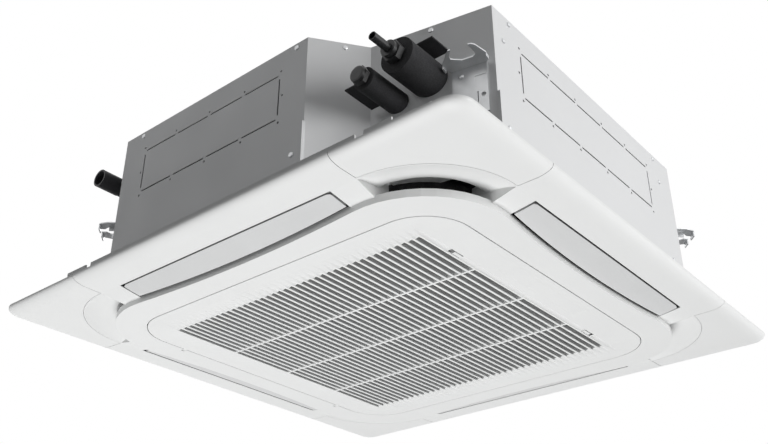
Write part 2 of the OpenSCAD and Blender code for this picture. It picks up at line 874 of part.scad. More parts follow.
// Holes for the two pipes through the pipe corner's walls
module pipe_places(gas_hole_r, liquid_hole_r) {
    translate([gas_x, pipe_face_y(gas_x), gas_z])
        rotate([90, 0, 0])
            cylinder(r = gas_hole_r, h = 8 * flange, center = true);
    translate([liquid_x, pipe_face_y(liquid_x), liquid_z])
        rotate([90, 0, 0])
            cylinder(r = liquid_hole_r, h = 8 * flange, center = true);
}

// Plan of the air outlets, four long ones and four round the corners, grown outwards by g
module windows(g = 0) {
    slot_out = recess_slot_r - 2 - corner_duct;
    four_sides() {
        translate([-outlet_half - g, duct_inner])
            square([2 * (outlet_half + g), duct_outer - duct_inner + g]);
        translate([cover_seam, cover_seam])
            intersection() {
                difference() {
                    circle(slot_out + g);
                    circle(slot_out - corner_duct);
                }
                translate([-g, -g])
                    square(slot_out + through + 2 * g);
            }
    }
}

// Foam drain pan: outlets round the coil, a trough under it and a sump under the pump
module drain_pan() {
    trough_out = coil_half + trough_play;
    trough_in = coil_half - coil_depth - trough_play;
    rib = 8;
    pump_d = [-pump_c, -pump_c];
    color(foam_white)
        difference() {
            prism(inset(casing, sheet + 2 * seat), pan_bottom, pan_top);
            translate([0, 0, pan_bottom - through])
                linear_extrude(pan_height + 2 * through) {
                    circle(pan_hole_r);
                    intersection() {
                        windows();
                        polygon(inset(casing, window_limit));
                    }
                }
            translate([0, 0, pan_floor])
                linear_extrude(trough_depth + through) {
                    difference() {
                        polygon(rounded_square(trough_out, coil_bend_r + trough_play));
                        polygon(rounded_square(trough_in, coil_bend_r - coil_depth - trough_play));
                        for (s = [-1, 0, 1]) {
                            translate([s * 150, 0])
                                square([rib, 2 * half], center = true);
                            translate([0, s * 150])
                                square([2 * half, rib], center = true);
                        }
                    }
                    translate(pump_d)
                        circle(sump_r);
                    translate([-float_x, -float_y])
                        circle(float_r + 4);
                    translate(pump_d / 2 + [-trough_out, -trough_out] / 2 + [24, 24])
                        rotate(45)
                            square([60, 16], center = true);
                    translate([-float_x + 18, -float_y + 12])
                        rotate(30)
                            square([44, 14], center = true);
                }
            translate([-box_far - seat, -box_length / 2 - seat, pan_bottom - through])
                cube([box_width + 2 * seat, box_length + 2 * seat, box_top + seat - pan_bottom + through]);
            four_sides()
                translate([0, screw_d, pan_bottom - through])
                    cylinder(r = screw_hole_r, h = screw_depth + through);
        }
}

// The drain socket's place: its axis runs along -Y through the drain corner's face
drain_x = -half + drain_inset;
drain_face_y = -(2 * half - corner_cut) - drain_x;
module drain_place() {
    translate([drain_x, drain_face_y, drain_z])
        rotate([90, 0, 0])
            children();
}

// Bell mouth: a flange under the pan, a flare and a throat that enters the fan
module bell_mouth() {
    centre = [throat_r + flare_r, bell_bottom + flare_r];
    flange_r = pan_hole_r + 14;
    function flare(r) = [for (i = [0:arc_steps])
        let (a = 180 + 90 * i / arc_steps) centre + r * [cos(a), sin(a)]];
    color(plastic_black)
        difference() {
            rotate_extrude()
                polygon(concat([[throat_r, throat_z]], flare(flare_r),
                    [[flange_r, bell_bottom], [flange_r, bell_bottom + bell_t]],
                    reversed(flare(flare_r - bell_t)), [[throat_r + bell_t, throat_z]]));
            translate([-flange_r - through, -box_length / 2 - 1, bell_bottom - through])
                cube([flange_r - box_far + box_width + 1 + through, box_length + 2, 2 * bell_t + through]);
        }
}

// Control box, open downwards, with its cover, board and terminals
module control_box() {
    inner = [box_width - 2 * box_t, box_length - 2 * box_t, box_height];
    cable_hole_r = 9;
    color(casing_grey)
        difference() {
            translate([-box_far, -box_length / 2, box_bottom])
                cube([box_width, box_length, box_height]);
            translate([-box_far + box_t, -box_length / 2 + box_t, box_bottom - box_t])
                cube(inner);
            translate([-box_far + box_width / 2, -box_length / 2, box_bottom + 18])
                rotate([90, 0, 0])
                    cylinder(r = cable_hole_r, h = 4 * box_t, center = true);
        }
}

module control_box_cover() {
    lip = 6;
    play = box_t + seat;
    color(casing_grey) {
        difference() {
            translate([-box_far, -box_length / 2, box_bottom - seat - box_t])
                cube([box_width, box_length, box_t]);
            for (s = [-1, 1])
                translate([-box_far + box_width / 2, s * (box_length / 2 - 16), box_bottom - 4 * box_t])
                    cylinder(r = 2.2, h = 8 * box_t);
        }
        for (x = [-box_far + play, -box_far + box_width - play - box_t])
            translate([x, -box_length / 2 + 20, box_bottom - seat - box_t])
                cube([box_t, box_length - 40, lip + box_t]);
    }
}

module main_board() {
    board_t = 1.6;
    board = [box_width - 2 * box_t - 8, box_length - 70, board_t];
    board_z = box_top - box_t - 5;
    x0 = -box_far + box_t + 4;
    y0 = -box_length / 2 + 60;
    color([0.13, 0.42, 0.27])
        translate([x0, y0, board_z])
            cube(board);
    color(zinc)
        for (x = [5, board.x - 5], y = [6, board.y - 6])
            translate([x0 + x, y0 + y, board_z])
                cylinder(r = 2, h = 5 - seat);
    color([0.2, 0.2, 0.22]) {
        for (i = [0:3])
            translate([x0 + 12 + 12 * i, y0 + 20, board_z - 16])
                cube([9, 16, 16]);
        for (i = [0:2])
            translate([x0 + 14 + 17 * i, y0 + 60, board_z - 22])
                cylinder(r = 7, h = 22);
        translate([x0 + 10, y0 + 85, board_z - 24])
            cube([40, 34, 24]);
        for (i = [0:4])
            translate([x0 + 6 + 10 * i, y0 + board.y - 18, board_z - 9])
                cube([8, 10, 9]);
    }
}

module terminal_block() {
    poles = 6;
    pole = 9;
    height = 16;
    z = box_top - box_t - seat - height;
    x0 = -box_far + (box_width - poles * pole) / 2;
    y0 = -box_length / 2 + 22;
    color([0.88, 0.87, 0.82])
        difference() {
            translate([x0, y0, z])
                cube([poles * pole, 24, height]);
            for (i = [0:poles - 1], s = [-1, 1])
                translate([x0 + pole * (i + 0.5), y0 + 12 + s * 6.5, z - through])
                    cylinder(r = 3, h = 9);
        }
}

// Fan motor on three rubber bushes under the top plate
module bush_places() {
    for (k = [0:2])
        rotate(120 * k + 30)
            translate([motor_foot_r, 0, 0])
                children();
}

module motor_bushes() {
    waist = 6;
    end = 8;
    color(foam_black)
        bush_places()
            translate([0, 0, plate_top - seat - bush_height])
                rotate_extrude()
                    polygon([[2.4, 0], [end, 0], [end, 2.5], [waist, 4], [waist, bush_height - 4],
                        [end, bush_height - 2.5], [end, bush_height], [2.4, bush_height]]);
}

module fan_motor() {
    foot_t = 3;
    step = motor_r * 0.72;
    color([0.3, 0.31, 0.33])
        difference() {
            union() {
                translate([0, 0, motor_bottom])
                    rotate_extrude()
                        polygon([[0, -4], [18, -4], [20, 0], [step, 0], [step + 4, 6], [motor_r - 4, 10],
                            [motor_r, 16], [motor_r, motor_height - 14], [motor_r - 3, motor_height - 10],
                            [motor_r - 3, motor_height], [0, motor_height]]);
                bush_places()
                    translate([0, 0, motor_top - foot_t])
                        cylinder(r = 10, h = foot_t);
                for (k = [0:2])
                    rotate(120 * k + 30)
                        translate([0, -10, motor_top - foot_t])
                            cube([motor_foot_r, 20, foot_t]);
                for (k = [0:11])
                    rotate(30 * k)
                        translate([motor_r - 2, -1, motor_bottom + 18])
                            cube([5, 2, motor_height - 36]);
            }
            translate([0, 0, motor_bottom - 10])
                cylinder(r = shaft_r + running_gap, h = shaft_top - motor_bottom + 10 + seat);
            bush_places()
                translate([0, 0, motor_top - 2 * foot_t])
                    cylinder(r = 2.6, h = 4 * foot_t);
        }
}

module motor_shaft() {
    tail = 20;
    color(zinc)
        translate([0, 0, hub_floor_z - tail])
            cylinder(r = shaft_r, h = shaft_top - hub_floor_z + tail);
}

module fan_nut() {
    color(zinc)
        difference() {
            translate([0, 0, hub_floor_z - 8])
                cylinder(r = 11, h = 8, $fn = 6);
            translate([0, 0, hub_floor_z - 9])
                cylinder(r = shaft_r + running_gap, h = 10);
        }
}

// Turbo fan: back plate with a sunk hub, leaning blades and a shroud with the inlet
shroud_a = fan_r - inlet_r;
function shroud_line(a, b) = [for (i = [0:arc_steps])
    let (t = 90 * i / arc_steps) [fan_r - a * cos(t), fan_inlet_z + b * sin(t)]];
blade_start = inlet_r + 6;
function blade_side(s) = [for (i = [0:arc_steps])
    let (t = i / arc_steps, r = blade_start + (fan_r - 2 - blade_start) * t,
        a = -blade_sweep * pow(t, 1.15),
        w = blade_t * (0.35 + 0.65 * sin(180 * pow(t, 0.7))) / r * 180 / PI * 0.75)
    r * [cos(a + s * w), sin(a + s * w)]];

module turbo_fan() {
    hub_drop = fan_plate_z - hub_floor_z;
    mid_a = shroud_a - fan_t / 2;
    mid_b = shroud_rise - fan_t / 2;
    color(foam_white)
        difference() {
            union() {
                rotate_extrude()
                    polygon(concat(shroud_line(shroud_a, shroud_rise),
                        reversed(shroud_line(shroud_a - fan_t, shroud_rise - fan_t))));
                rotate_extrude()
                    polygon([[0, hub_floor_z], [hub_r - 12, hub_floor_z],
                        [hub_r - 6, hub_floor_z + 4], [hub_r + 2, fan_plate_z - 8],
                        [hub_r + 12, fan_plate_z], [fan_r, fan_plate_z], [fan_r, fan_plate_z + fan_t],
                        [hub_r + 10, fan_plate_z + fan_t], [hub_r, fan_plate_z - 6],
                        [hub_r - 8, hub_floor_z + 7], [hub_r - 13, hub_floor_z + 4],
                        [20, hub_floor_z + 4], [17, hub_floor_z + 16], [0, hub_floor_z + 16]]);
                difference() {
                    translate([0, 0, fan_inlet_z])
                        linear_extrude(fan_plate_z - fan_inlet_z + fan_t / 2)
                            for (k = [0:blade_count - 1])
                                rotate(360 * k / blade_count)
                                    polygon(concat(blade_side(1), reversed(blade_side(-1))));
                    rotate_extrude()
                        polygon(concat([[inlet_r, fan_inlet_z - 5]], shroud_line(mid_a, mid_b),
                            [[fan_r + 5, fan_inlet_z + mid_b], [fan_r + 5, fan_inlet_z - 5]]));
                }
                for (k = [0:5])
                    rotate(60 * k)
                        translate([16, -1.2, hub_floor_z + 2])
                            cube([hub_r - 28, 2.4, 8]);
            }
            translate([0, 0, hub_floor_z - through])
                cylinder(r = shaft_r + running_gap / 2, h = hub_drop);
        }
}

// Finned coil: a square ring with round bends, open at the pipe corner
tube_rows = floor((coil_top - coil_bottom) / tube_pitch);
tube_z0 = (coil_bottom + coil_top - (tube_rows - 1) * tube_pitch) / 2;
tube_columns = [0.26, 0.74];
coil_in = coil_half - coil_depth;

module coil_plan() {
    reach = coil_half - coil_bend_r;
    difference() {
        polygon(rounded_square(coil_half, coil_bend_r));
        polygon(rounded_square(coil_in, coil_bend_r - coil_depth));
        translate([coil_end, -half])
            square([half, half - coil_end]);
        for (k = [0:3], x = [-reach:fin_groove_pitch:reach])
            rotate(90 * k) {
                translate([x, coil_half])
                    square([fin_groove, 3], center = true);
                translate([x, coil_in])
                    square([fin_groove, 3], center = true);
            }
    }
}

// Holes or rods where the tubes cross one of the coil's two end faces
module tube_places(columns) {
    for (c = columns, i = [0:tube_rows - 1])
        translate([0, -(coil_in + c * coil_depth), tube_z0 + i * tube_pitch])
            rotate([0, 90, 0])
                children();
}

module coil_fins() {
    color([0.75, 0.77, 0.78])
        translate([0, 0, coil_bottom])
            linear_extrude(coil_top - coil_bottom)
                coil_plan();
}

// The end plate on the front arm; the one on the right arm is its mirror image
module end_plate() {
    edge = 1.5;
    difference() {
        translate([coil_end + seat, -coil_half - edge, coil_bottom])
            cube([tube_plate_t, coil_depth + 2 * edge, coil_top - coil_bottom]);
        translate([coil_end, 0, 0])
            tube_places(tube_columns)
                cylinder(r = tube_r + 0.15, h = 8 * tube_plate_t, center = true);
    }
}

module both_arms() {
    children();
    mirror([1, 1, 0])
        children();
}

module tube_plates() {
    color(zinc)
        both_arms()
            end_plate();
}

module return_bend(column, row) {
    r = tube_pitch / 2;
    leg = 9;
    translate([coil_end + 2 * seat, -(coil_in + column * coil_depth), tube_z0 + row * tube_pitch]) {
        for (z = [0, tube_pitch])
            translate([0, 0, z])
                rotate([0, 90, 0])
                    cylinder(r = tube_r, h = leg + 0.01);
        translate([leg, 0, r])
            rotate([90, 90, 0])
                rotate_extrude(angle = 180)
                    translate([r, 0])
                        circle(tube_r);
    }
}

module coil_tubes() {
    color(copper) {
        for (row = [0:2:tube_rows - 2]) {
            for (column = tube_columns)
                return_bend(column, row);
            mirror([1, 1, 0])
                return_bend(tube_columns[0], row);
        }
    }
}

// Pipework in the pipe corner, between the coil's two end faces
valve_y = pipe_face_y(liquid_x) + 62;
gas_header_y = pipe_face_y(gas_x) + 68;

module expansion_valve() {
    body_r = 11;
    coil_r = 17;
    rise = 22;
    color(brass)
        difference() {
            translate([liquid_x, valve_y, liquid_z - 14])
                union() {
                    cylinder(r = body_r, h = 34);
                    translate([0, 0, 34])
                        cylinder(r = 6, h = rise + 6);
                }
            translate([liquid_x, valve_y, liquid_z])
                rotate([90, 0, 0])
                    cylinder(r = liquid_r + seat, h = body_r + through);
        }
    color(foam_black)
        translate([liquid_x, valve_y, liquid_z - 14 - seat])
            rotate_extrude()
                polygon([[0, 0], [0, -rise], [coil_r - 2, -rise], [coil_r, -rise + 2], [coil_r, -2],
                    [coil_r - 2, 0]]);
}

module distributor() {
    base = liquid_z + 20 + 28 + seat;
    color(brass)
        translate([liquid_x, valve_y, base]) {
            rotate_extrude()
                polygon([[0, 0], [6, 0], [6, 4], [13, 14], [13, 20], [9, 24], [0, 24]]);
            for (k = [0:3])
                rotate(90 * k + 45)
                    translate([7, 0, 22])
                        cylinder(r = 1.6, h = 14);
        }
}

module liquid_pipe() {
    mouth_y = pipe_face_y(liquid_x) - sleeve_length - liquid_nut_gap - 4;
    color(fitting_black)
        translate([liquid_x, valve_y - 5, liquid_z])
            rotate([90, 0, 0])
                cylinder(r = liquid_r, h = valve_y - 5 - mouth_y);
}

module gas_pipe() {
    header_r = 9.5;
    header_low = coil_bottom + 14;
    header_high = coil_top - 12;
    mouth_y = pipe_face_y(gas_x) - sleeve_length - gas_reach;
    stub_x = coil_in + tube_columns[1] * coil_depth;
    wall = 1;
    color(fitting_black)
        difference() {
            union() {
                translate([gas_x, gas_header_y, header_low])
                    cylinder(r = header_r, h = header_high - header_low);
                translate([gas_x, gas_header_y, gas_z])
                    rotate([90, 0, 0]) {
                        cylinder(r = gas_body_r, h = gas_header_y - mouth_y - gas_end);
                        cylinder(r = gas_r, h = gas_header_y - mouth_y);
                    }
                for (i = [0:tube_rows - 1])
                    translate([stub_x, gas_header_y, tube_z0 + i * tube_pitch])
                        rotate([-90, 0, 0])
                            cylinder(r = tube_r, h = -coil_end - gas_header_y - 2 * seat);
            }
            translate([gas_x, mouth_y - through, gas_z])
                rotate([-90, 0, 0])
                    cylinder(r = gas_r - wall, h = 40);
        }
}

// A foam sleeve along -Y from the pipe corner's face, with its lap strip
module sleeve(x, z, r, bore_r, lap, lap_z, lap_start, lap_gap) {
    face_y = pipe_face_y(x);
    lap_x = min(x, x + lap);
    difference() {
        union() {
            translate([x, face_y + 10, z])
                rotate([90, 0, 0])
                    cylinder(r = r, h = sleeve_length + 10);
            translate([lap_x, face_y - sleeve_length + lap_start, z + lap_z * (r - lap_t / 2) - lap_t / 2])
                cube([abs(lap), sleeve_length - lap_start - lap_gap, lap_t]);
        }
        translate([x, face_y + 20, z])
            rotate([90, 0, 0])
                cylinder(r = bore_r, h = sleeve_length + 40);
        on_pipe_face()
            translate([-pipe_face_length, -seat, 0])
                cube([3 * pipe_face_length, 60, casing_height + casing_lift]);
    }
}

module gas_sleeve() {
    color(foam_black)
        sleeve(gas_x, gas_z, gas_sleeve_r, gas_body_r + seat, gas_lap, 1, gas_lap_start,
            gas_lap_gap);
}

module liquid_sleeve() {
    color(foam_black)
        sleeve(liquid_x, liquid_z, liquid_sleeve_r, liquid_r + seat, -liquid_lap, -0.15, 1,
            liquid_lap_gap);
}

module gas_flare_nut() {
    color(fitting_black)
        translate([gas_x, pipe_face_y(gas_x) - sleeve_length - gas_nut_gap, gas_z])
            rotate([90, 0, 0])
                difference() {
                    union() {
                        cylinder(r = gas_nut_af / 2 / cos(30), h = nut_length * 0.6, $fn = 6);
                        cylinder(r = gas_nut_af / 2 - 2, h = nut_length);
                    }
                    translate([0, 0, -through])
                        cylinder(r = gas_body_r + seat, h = nut_length + 2 * through);
                }
}

module liquid_cap_nut() {
    cap = 12;
    hex_h = 7;
    color(fitting_black)
        translate([liquid_x, pipe_face_y(liquid_x) - sleeve_length - liquid_nut_gap, liquid_z])
            rotate([90, 0, 0])
                difference() {
                    union() {
                        cylinder(r = liquid_nut_r, h = hex_h, $fn = 6);
                        rotate_extrude()
                            polygon([[0, 0], [liquid_nut_r - 2, 0], [liquid_nut_r - 2, cap - 3],
                                [liquid_nut_r - 3, cap - 1], [liquid_nut_r - 6, cap], [0, cap]]);
                    }
                    translate([0, 0, -through])
                        cylinder(r = liquid_r + seat, h = 4 + seat + through);
                }
}

// Drain pump, its hose and the socket in the drain corner
pump_base = pan_top + seat;
pump_motor_r = 22;
hose_bend = 25;
hose_rise_bend = 20;
hose_wall = 2.7;
spigot_r = hose_r - hose_wall - seat;
socket_in_y = drain_face_y + lining * sqrt(2) + 7;
hose_x = drain_x + hose_bend + hose_rise_bend + 8;
hose_y = socket_in_y + 12 + hose_bend;
hose_start = pump_base + 30;

module at_pump() {
    translate([-pump_c, -pump_c, 0])
        children();
}

module drain_pump() {
    cavity_r = pump_r - 5;
    suction_r = 12;
    suction_bottom = pan_floor + 5;
    body_top = pump_base + 26;
    color([0.85, 0.86, 0.86])
        difference() {
            union() {
                at_pump() {
                    translate([0, 0, pump_base])
                        cylinder(r = pump_r, h = 26);
                    translate([0, 0, suction_bottom])
                        cylinder(r = suction_r, h = pump_base - suction_bottom + 1);
                    translate([0, 0, body_top - 1])
                        cylinder(r = pump_motor_r, h = 45);
                    translate([0, 0, body_top + 44])
                        cylinder(r = pump_motor_r - 6, h = 5);
                    for (k = [0:2])
                        rotate(120 * k + 75)
                            translate([pump_motor_r - 2, -1.5, body_top - 1])
                                cube([pump_r - pump_motor_r, 3, 20]);
                }
                translate([hose_x, hose_y, pump_base]) {
                    cylinder(r = hose_r - 1, h = 30 - seat);
                    cylinder(r = spigot_r, h = 42);
                }
                translate([-pump_c, hose_y - 8, pump_base])
                    cube([hose_x + pump_c, 16, 24]);
            }
            at_pump() {
                translate([0, 0, pump_base + 4])
                    cylinder(r = cavity_r, h = 17);
                translate([0, 0, suction_bottom - through])
                    cylinder(r = suction_r - 3, h = pump_base - suction_bottom + 6);
                translate([0, 0, pump_base + 20])
                    cylinder(r = 2.5 + running_gap, h = 30);
            }
            translate([hose_x, hose_y, pump_base + 12])
                cylinder(r = spigot_r - 2, h = 40);
        }
}

module pump_impeller() {
    r = pump_r - 8;
    color(plastic_black)
        at_pump() {
            translate([0, 0, pump_base + 15])
                cylinder(r = r, h = 2);
            translate([0, 0, pump_base + 16])
                cylinder(r = 2.5, h = 30);
            translate([0, 0, pump_base + 6])
                cylinder(r = 5, h = 10);
            for (k = [0:3])
                rotate(90 * k)
                    translate([3, -1, pump_base + 6])
                        cube([r - 5, 2, 10]);
        }
}

module float_place() {
    translate([-float_x, -float_y, 0])
        children();
}

float_rest = pan_floor + 5;
float_h = 12;

module float_switch() {
    stem_r = 2.5;
    arm_z = float_rest + float_h + float_travel + 6;
    color([0.9, 0.9, 0.88])
        float_place() {
            translate([0, 0, pan_floor + seat])
                cylinder(r = 5, h = float_rest - pan_floor - 2 * seat);
            translate([0, 0, pan_floor + 2])
                cylinder(r = stem_r, h = arm_z - pan_floor);
            translate([0, 0, arm_z])
                cylinder(r = 6, h = 10);
            translate([0, -4, arm_z])
                cube([24, 8, 3]);
            translate([20, -4, pan_top + seat])
                cube([4, 8, arm_z - pan_top - seat + 1]);
        }
}

module float_body() {
    color(plastic_black)
        float_place()
            translate([0, 0, float_rest])
                difference() {
                    cylinder(r = float_r, h = float_h);
                    translate([0, 0, -through])
                        cylinder(r = 2.5 + running_gap, h = float_h + 2 * through);
                }
}

module drain_socket() {
    collar = 4;
    neck_r = drain_r - 0.8;
    inside = socket_in_y - drain_face_y;
    color(plastic_black)
        drain_place()
            difference() {
                union() {
                    translate([0, 0, -inside])
                        cylinder(r = neck_r, h = inside + drain_length - drain_grip + 1);
                    translate([0, 0, -inside - 10])
                        cylinder(r = spigot_r, h = 12);
                    translate([0, 0, drain_length - drain_grip])
                        cylinder(r = drain_r, h = drain_grip);
                }
                translate([0, 0, -inside + collar])
                    cylinder(r = drain_r - drain_wall, h = inside + drain_length);
                translate([0, 0, -inside - 12])
                    cylinder(r = spigot_r - 2, h = 20);
            }
}

module hose_route(r, extra) {
    top = drain_z - hose_rise_bend;
    translate([hose_x, hose_y, hose_start - extra])
        cylinder(r = r, h = top - hose_start + extra);
    translate([hose_x - hose_rise_bend, hose_y, top])
        rotate([90, 0, 0])
            rotate_extrude(angle = 90)
                translate([hose_rise_bend, 0])
                    circle(r);
    translate([drain_x + hose_bend, hose_y, drain_z])
        rotate([0, 90, 0])
            cylinder(r = r, h = 8);
    translate([drain_x + hose_bend, hose_y - hose_bend, drain_z])
        rotate(90)
            rotate_extrude(angle = 90)
                translate([hose_bend, 0])
                    circle(r);
    translate([drain_x, hose_y - hose_bend, drain_z])
        rotate([90, 0, 0])
            cylinder(r = r, h = 12 - seat + extra);
}

module drain_hose() {
    color([0.75, 0.76, 0.76])
        difference() {
            hose_route(hose_r, 0);
            hose_route(hose_r - hose_wall, through);
        }
}

// The panel's outer form, grown inwards by t: a lip rounded along all four sides
corner_c = panel_half - panel_corner_r;
function lip_arc(t) = [for (i = [0:arc_steps])
    let (a = 90 * i / arc_steps)
    [panel_half - lip_round + (lip_round - t) * cos(a), -lip_edge - (lip_drop - lip_edge - t) * sin(a)]];
function lip_side(t) = concat([[panel_half - t, 0]], lip_arc(t), [[outlet_edge, -lip_inner_drop + t]]);
function lip_flat_z(d, t) = -lip_drop + t - (lip_inner_drop - lip_drop)
    * (panel_half - lip_round - d) / (lip_width - lip_round);
function mirrored(p) = [for (i = [len(p) - 1:-1:0]) [-p[i].x, p[i].y]];

module lip_body(t) {
    section = concat(lip_side(t), mirrored(lip_side(t)));
    corner = [for (p = lip_side(t)) if (p.x > corner_c) [p.x - corner_c, p.y]];
    difference() {
        intersection() {
            run(section, 2 * (panel_half - t));
            rotate(90)
                run(section, 2 * (panel_half - t));
        }
        four_sides()
            translate([corner_c, corner_c, -panel_half])
                cube([panel_half, panel_half, panel_side]);
    }
    four_sides()
        translate([corner_c, corner_c, 0])
            rotate_extrude(angle = 90)
                polygon(concat(corner, [[0, lip_flat_z(corner_c, t)], [0, 0]]));
}

// Plan of a corner cover, grown inwards by g on every side that meets the frame
cover_land = 2;
module cover_plan(g) {
    translate([cover_seam, cover_seam])
        difference() {
            translate([g, g])
                square(panel_half);
            circle(recess_r + cover_land + g);
        }
}

// The corner outlets' recess: a shelf that curves up to the slot
recess_low = island_drop + 4;
function recess_section() = concat(
    [[recess_slot_r - corner_duct * 2.6, -recess_low], [recess_r, -recess_low]],
    [for (i = [0:arc_steps])
        let (a = 90 * i / arc_steps)
        [recess_r - (recess_r - recess_slot_r) * (0.35 * (1 - cos(a)) + 0.65 * i / arc_steps),
            -lip_inner_drop + lip_inner_drop * (0.35 * sin(a) + 0.65 * i / arc_steps)]],
    [[recess_slot_r - 2 - corner_duct, duct_top + through],
        [recess_slot_r - corner_duct * 2.6, duct_top + through]]);

module recess_end() {
    flare = 6.5 / 53;
    far = recess_r - 40;
    intersection() {
        rotate([90, 0, -90])
            mirror([1, 0, 0])
                linear_extrude(20)
                    polygon(recess_section());
        prism([[0.01, recess_r], [0.01, far - 67], [-flare * (recess_r - far + 67), far - 67]],
            -recess_low, duct_top + through);
    }
}

module recess() {
    translate([cover_seam, cover_seam, 0]) {
        rotate_extrude(angle = 90)
            polygon(recess_section());
        recess_end();
        mirror([1, -1, 0])
            recess_end();
    }
}

// The cut of a long outlet: upright at its mouth, then drawn in towards the casing
module long_duct() {
    deep = duct_inner - 8;
    run([[outlet_edge, -recess_low], [outlet_edge, -lip_inner_drop + duct_lip],
        [duct_outer, duct_top], [duct_outer, duct_top + through], [deep, duct_top + through],
        [deep, -recess_low]], 2 * outlet_half);
}

// The panel's sloping face between the lip and the island, at the middle of a side
module slope_wedge() {
    end = duct_inner - 10;
    run([[outlet_edge, -lip_inner_drop], [outlet_edge, 0], [end, 0], [end, slope_z(end)]],
        2 * cover_seam + 6);
}

// The back of the lip: a channel between the ducts and the locating rim
module lip_channel() {
    rim_in = panel_half - rim_inset - rim_t;
    land = 3;
    difference() {
        polygon(rounded_square(rim_in - land / 3, panel_corner_r - rim_inset - rim_t));
        square([2 * (outlet_edge + 2 * land), 2 * cover_seam], center = true);
        square([2 * cover_seam, 2 * (outlet_edge + 2 * land)], center = true);
        four_sides()
            translate([cover_seam, cover_seam])
                circle(recess_r + land);
        for (s = [-2:2]) {
            square_strip(s * back_rib_pitch * 1.4);
            rotate(90)
                square_strip(s * back_rib_pitch * 1.4);
        }
    }
}

module square_strip(x) {
    translate([x - back_rib_t / 2, -panel_half])
        square([back_rib_t, panel_side]);
}

// The locating rim: low all round, with taller stretches beside notches
rim_stretches = [[-312, -263], [-250, 303], [318, 363]];
module locating_rim() {
    rim_out = panel_half - rim_inset;
    corner = panel_corner_r - rim_inset;
    translate([0, 0, -skin])
        linear_extrude(rim_low + skin)
            difference() {
                polygon(rounded_square(rim_out, corner));
                polygon(rounded_square(rim_out - rim_t, corner - rim_t));
            }
    four_sides() {
        for (s = rim_stretches)
            translate([s[0], -rim_out, 0])
                cube([s[1] - s[0], rim_t, rim_height]);
        translate([rim_stretches[2][1], -rim_out, 0])
            cube([60, rim_t, rim_height * 0.75]);
    }
}

// A bridge between two outlets holds a flap's pin, and on one side its motor
module bridge_cuts() {
    pocket_r = swing_motor_r + 1.5;
    bore_r = flap_pin_r + running_gap;
    floor_z = flap_z + motor_rise - swing_motor_r - seat;
    pocket = motor_gap + swing_motor_length + 9;
    translate([-outlet_half - flap_pin_length + 1, flap_d, flap_z])
        rotate([0, 90, 0])
            cylinder(r = bore_r, h = flap_pin_length);
    translate([outlet_half - 1, flap_d, flap_z])
        rotate([0, 90, 0])
            cylinder(r = bore_r, h = flap_pin_length + 1);
    translate([outlet_half + skin, flap_d - pocket_r, floor_z])
        cube([pocket, 2 * pocket_r, duct_top - floor_z + through]);
}

// The cut for a grille hinge's ear in the opening's edge, with the pin's bores
module hinge_seat() {
    room = hinge_ear_r + hinge_play;
    width = hinge_width + 2 * hinge_play;
    translate([hinge_x - room, -width / 2, -island_drop - through])
        cube([hinge_outset + room + through, width, hinge_z + room + island_drop + through]);
    translate([hinge_x, 0, hinge_z])
        rotate([90, 0, 0])
            cylinder(r = hinge_pin_r + running_gap, h = width + 2 * (hinge_pin_grip + hinge_play),
                center = true);
}

// A keeper that a latch's hook slides over
module keeper() {
    y0 = latch_y - latch_post.y / 2 + latch_head + keeper_gap;
    x0 = latch_post_x - 2;
    translate([x0, y0, latch_lug_z[0]])
        cube([grille_hole + 1 - x0, 12, latch_lug_z[1] - latch_lug_z[0]]);
    translate([grille_hole, y0, -island_drop + 1])
        cube([skin, 12, latch_lug_z[1] + island_drop - 1]);
}

// A tab by which a screw holds the panel under the drain pan
module screw_tab() {
    tab = 30;
    inner = screw_d - 9;
    difference() {
        translate([-tab / 2, inner, duct_top - skin])
            cube([tab, duct_inner - skin / 2 - inner, skin]);
        translate([0, screw_d, duct_top - 2 * skin])
            cylinder(r = screw_hole_r, h = 3 * skin);
    }
}

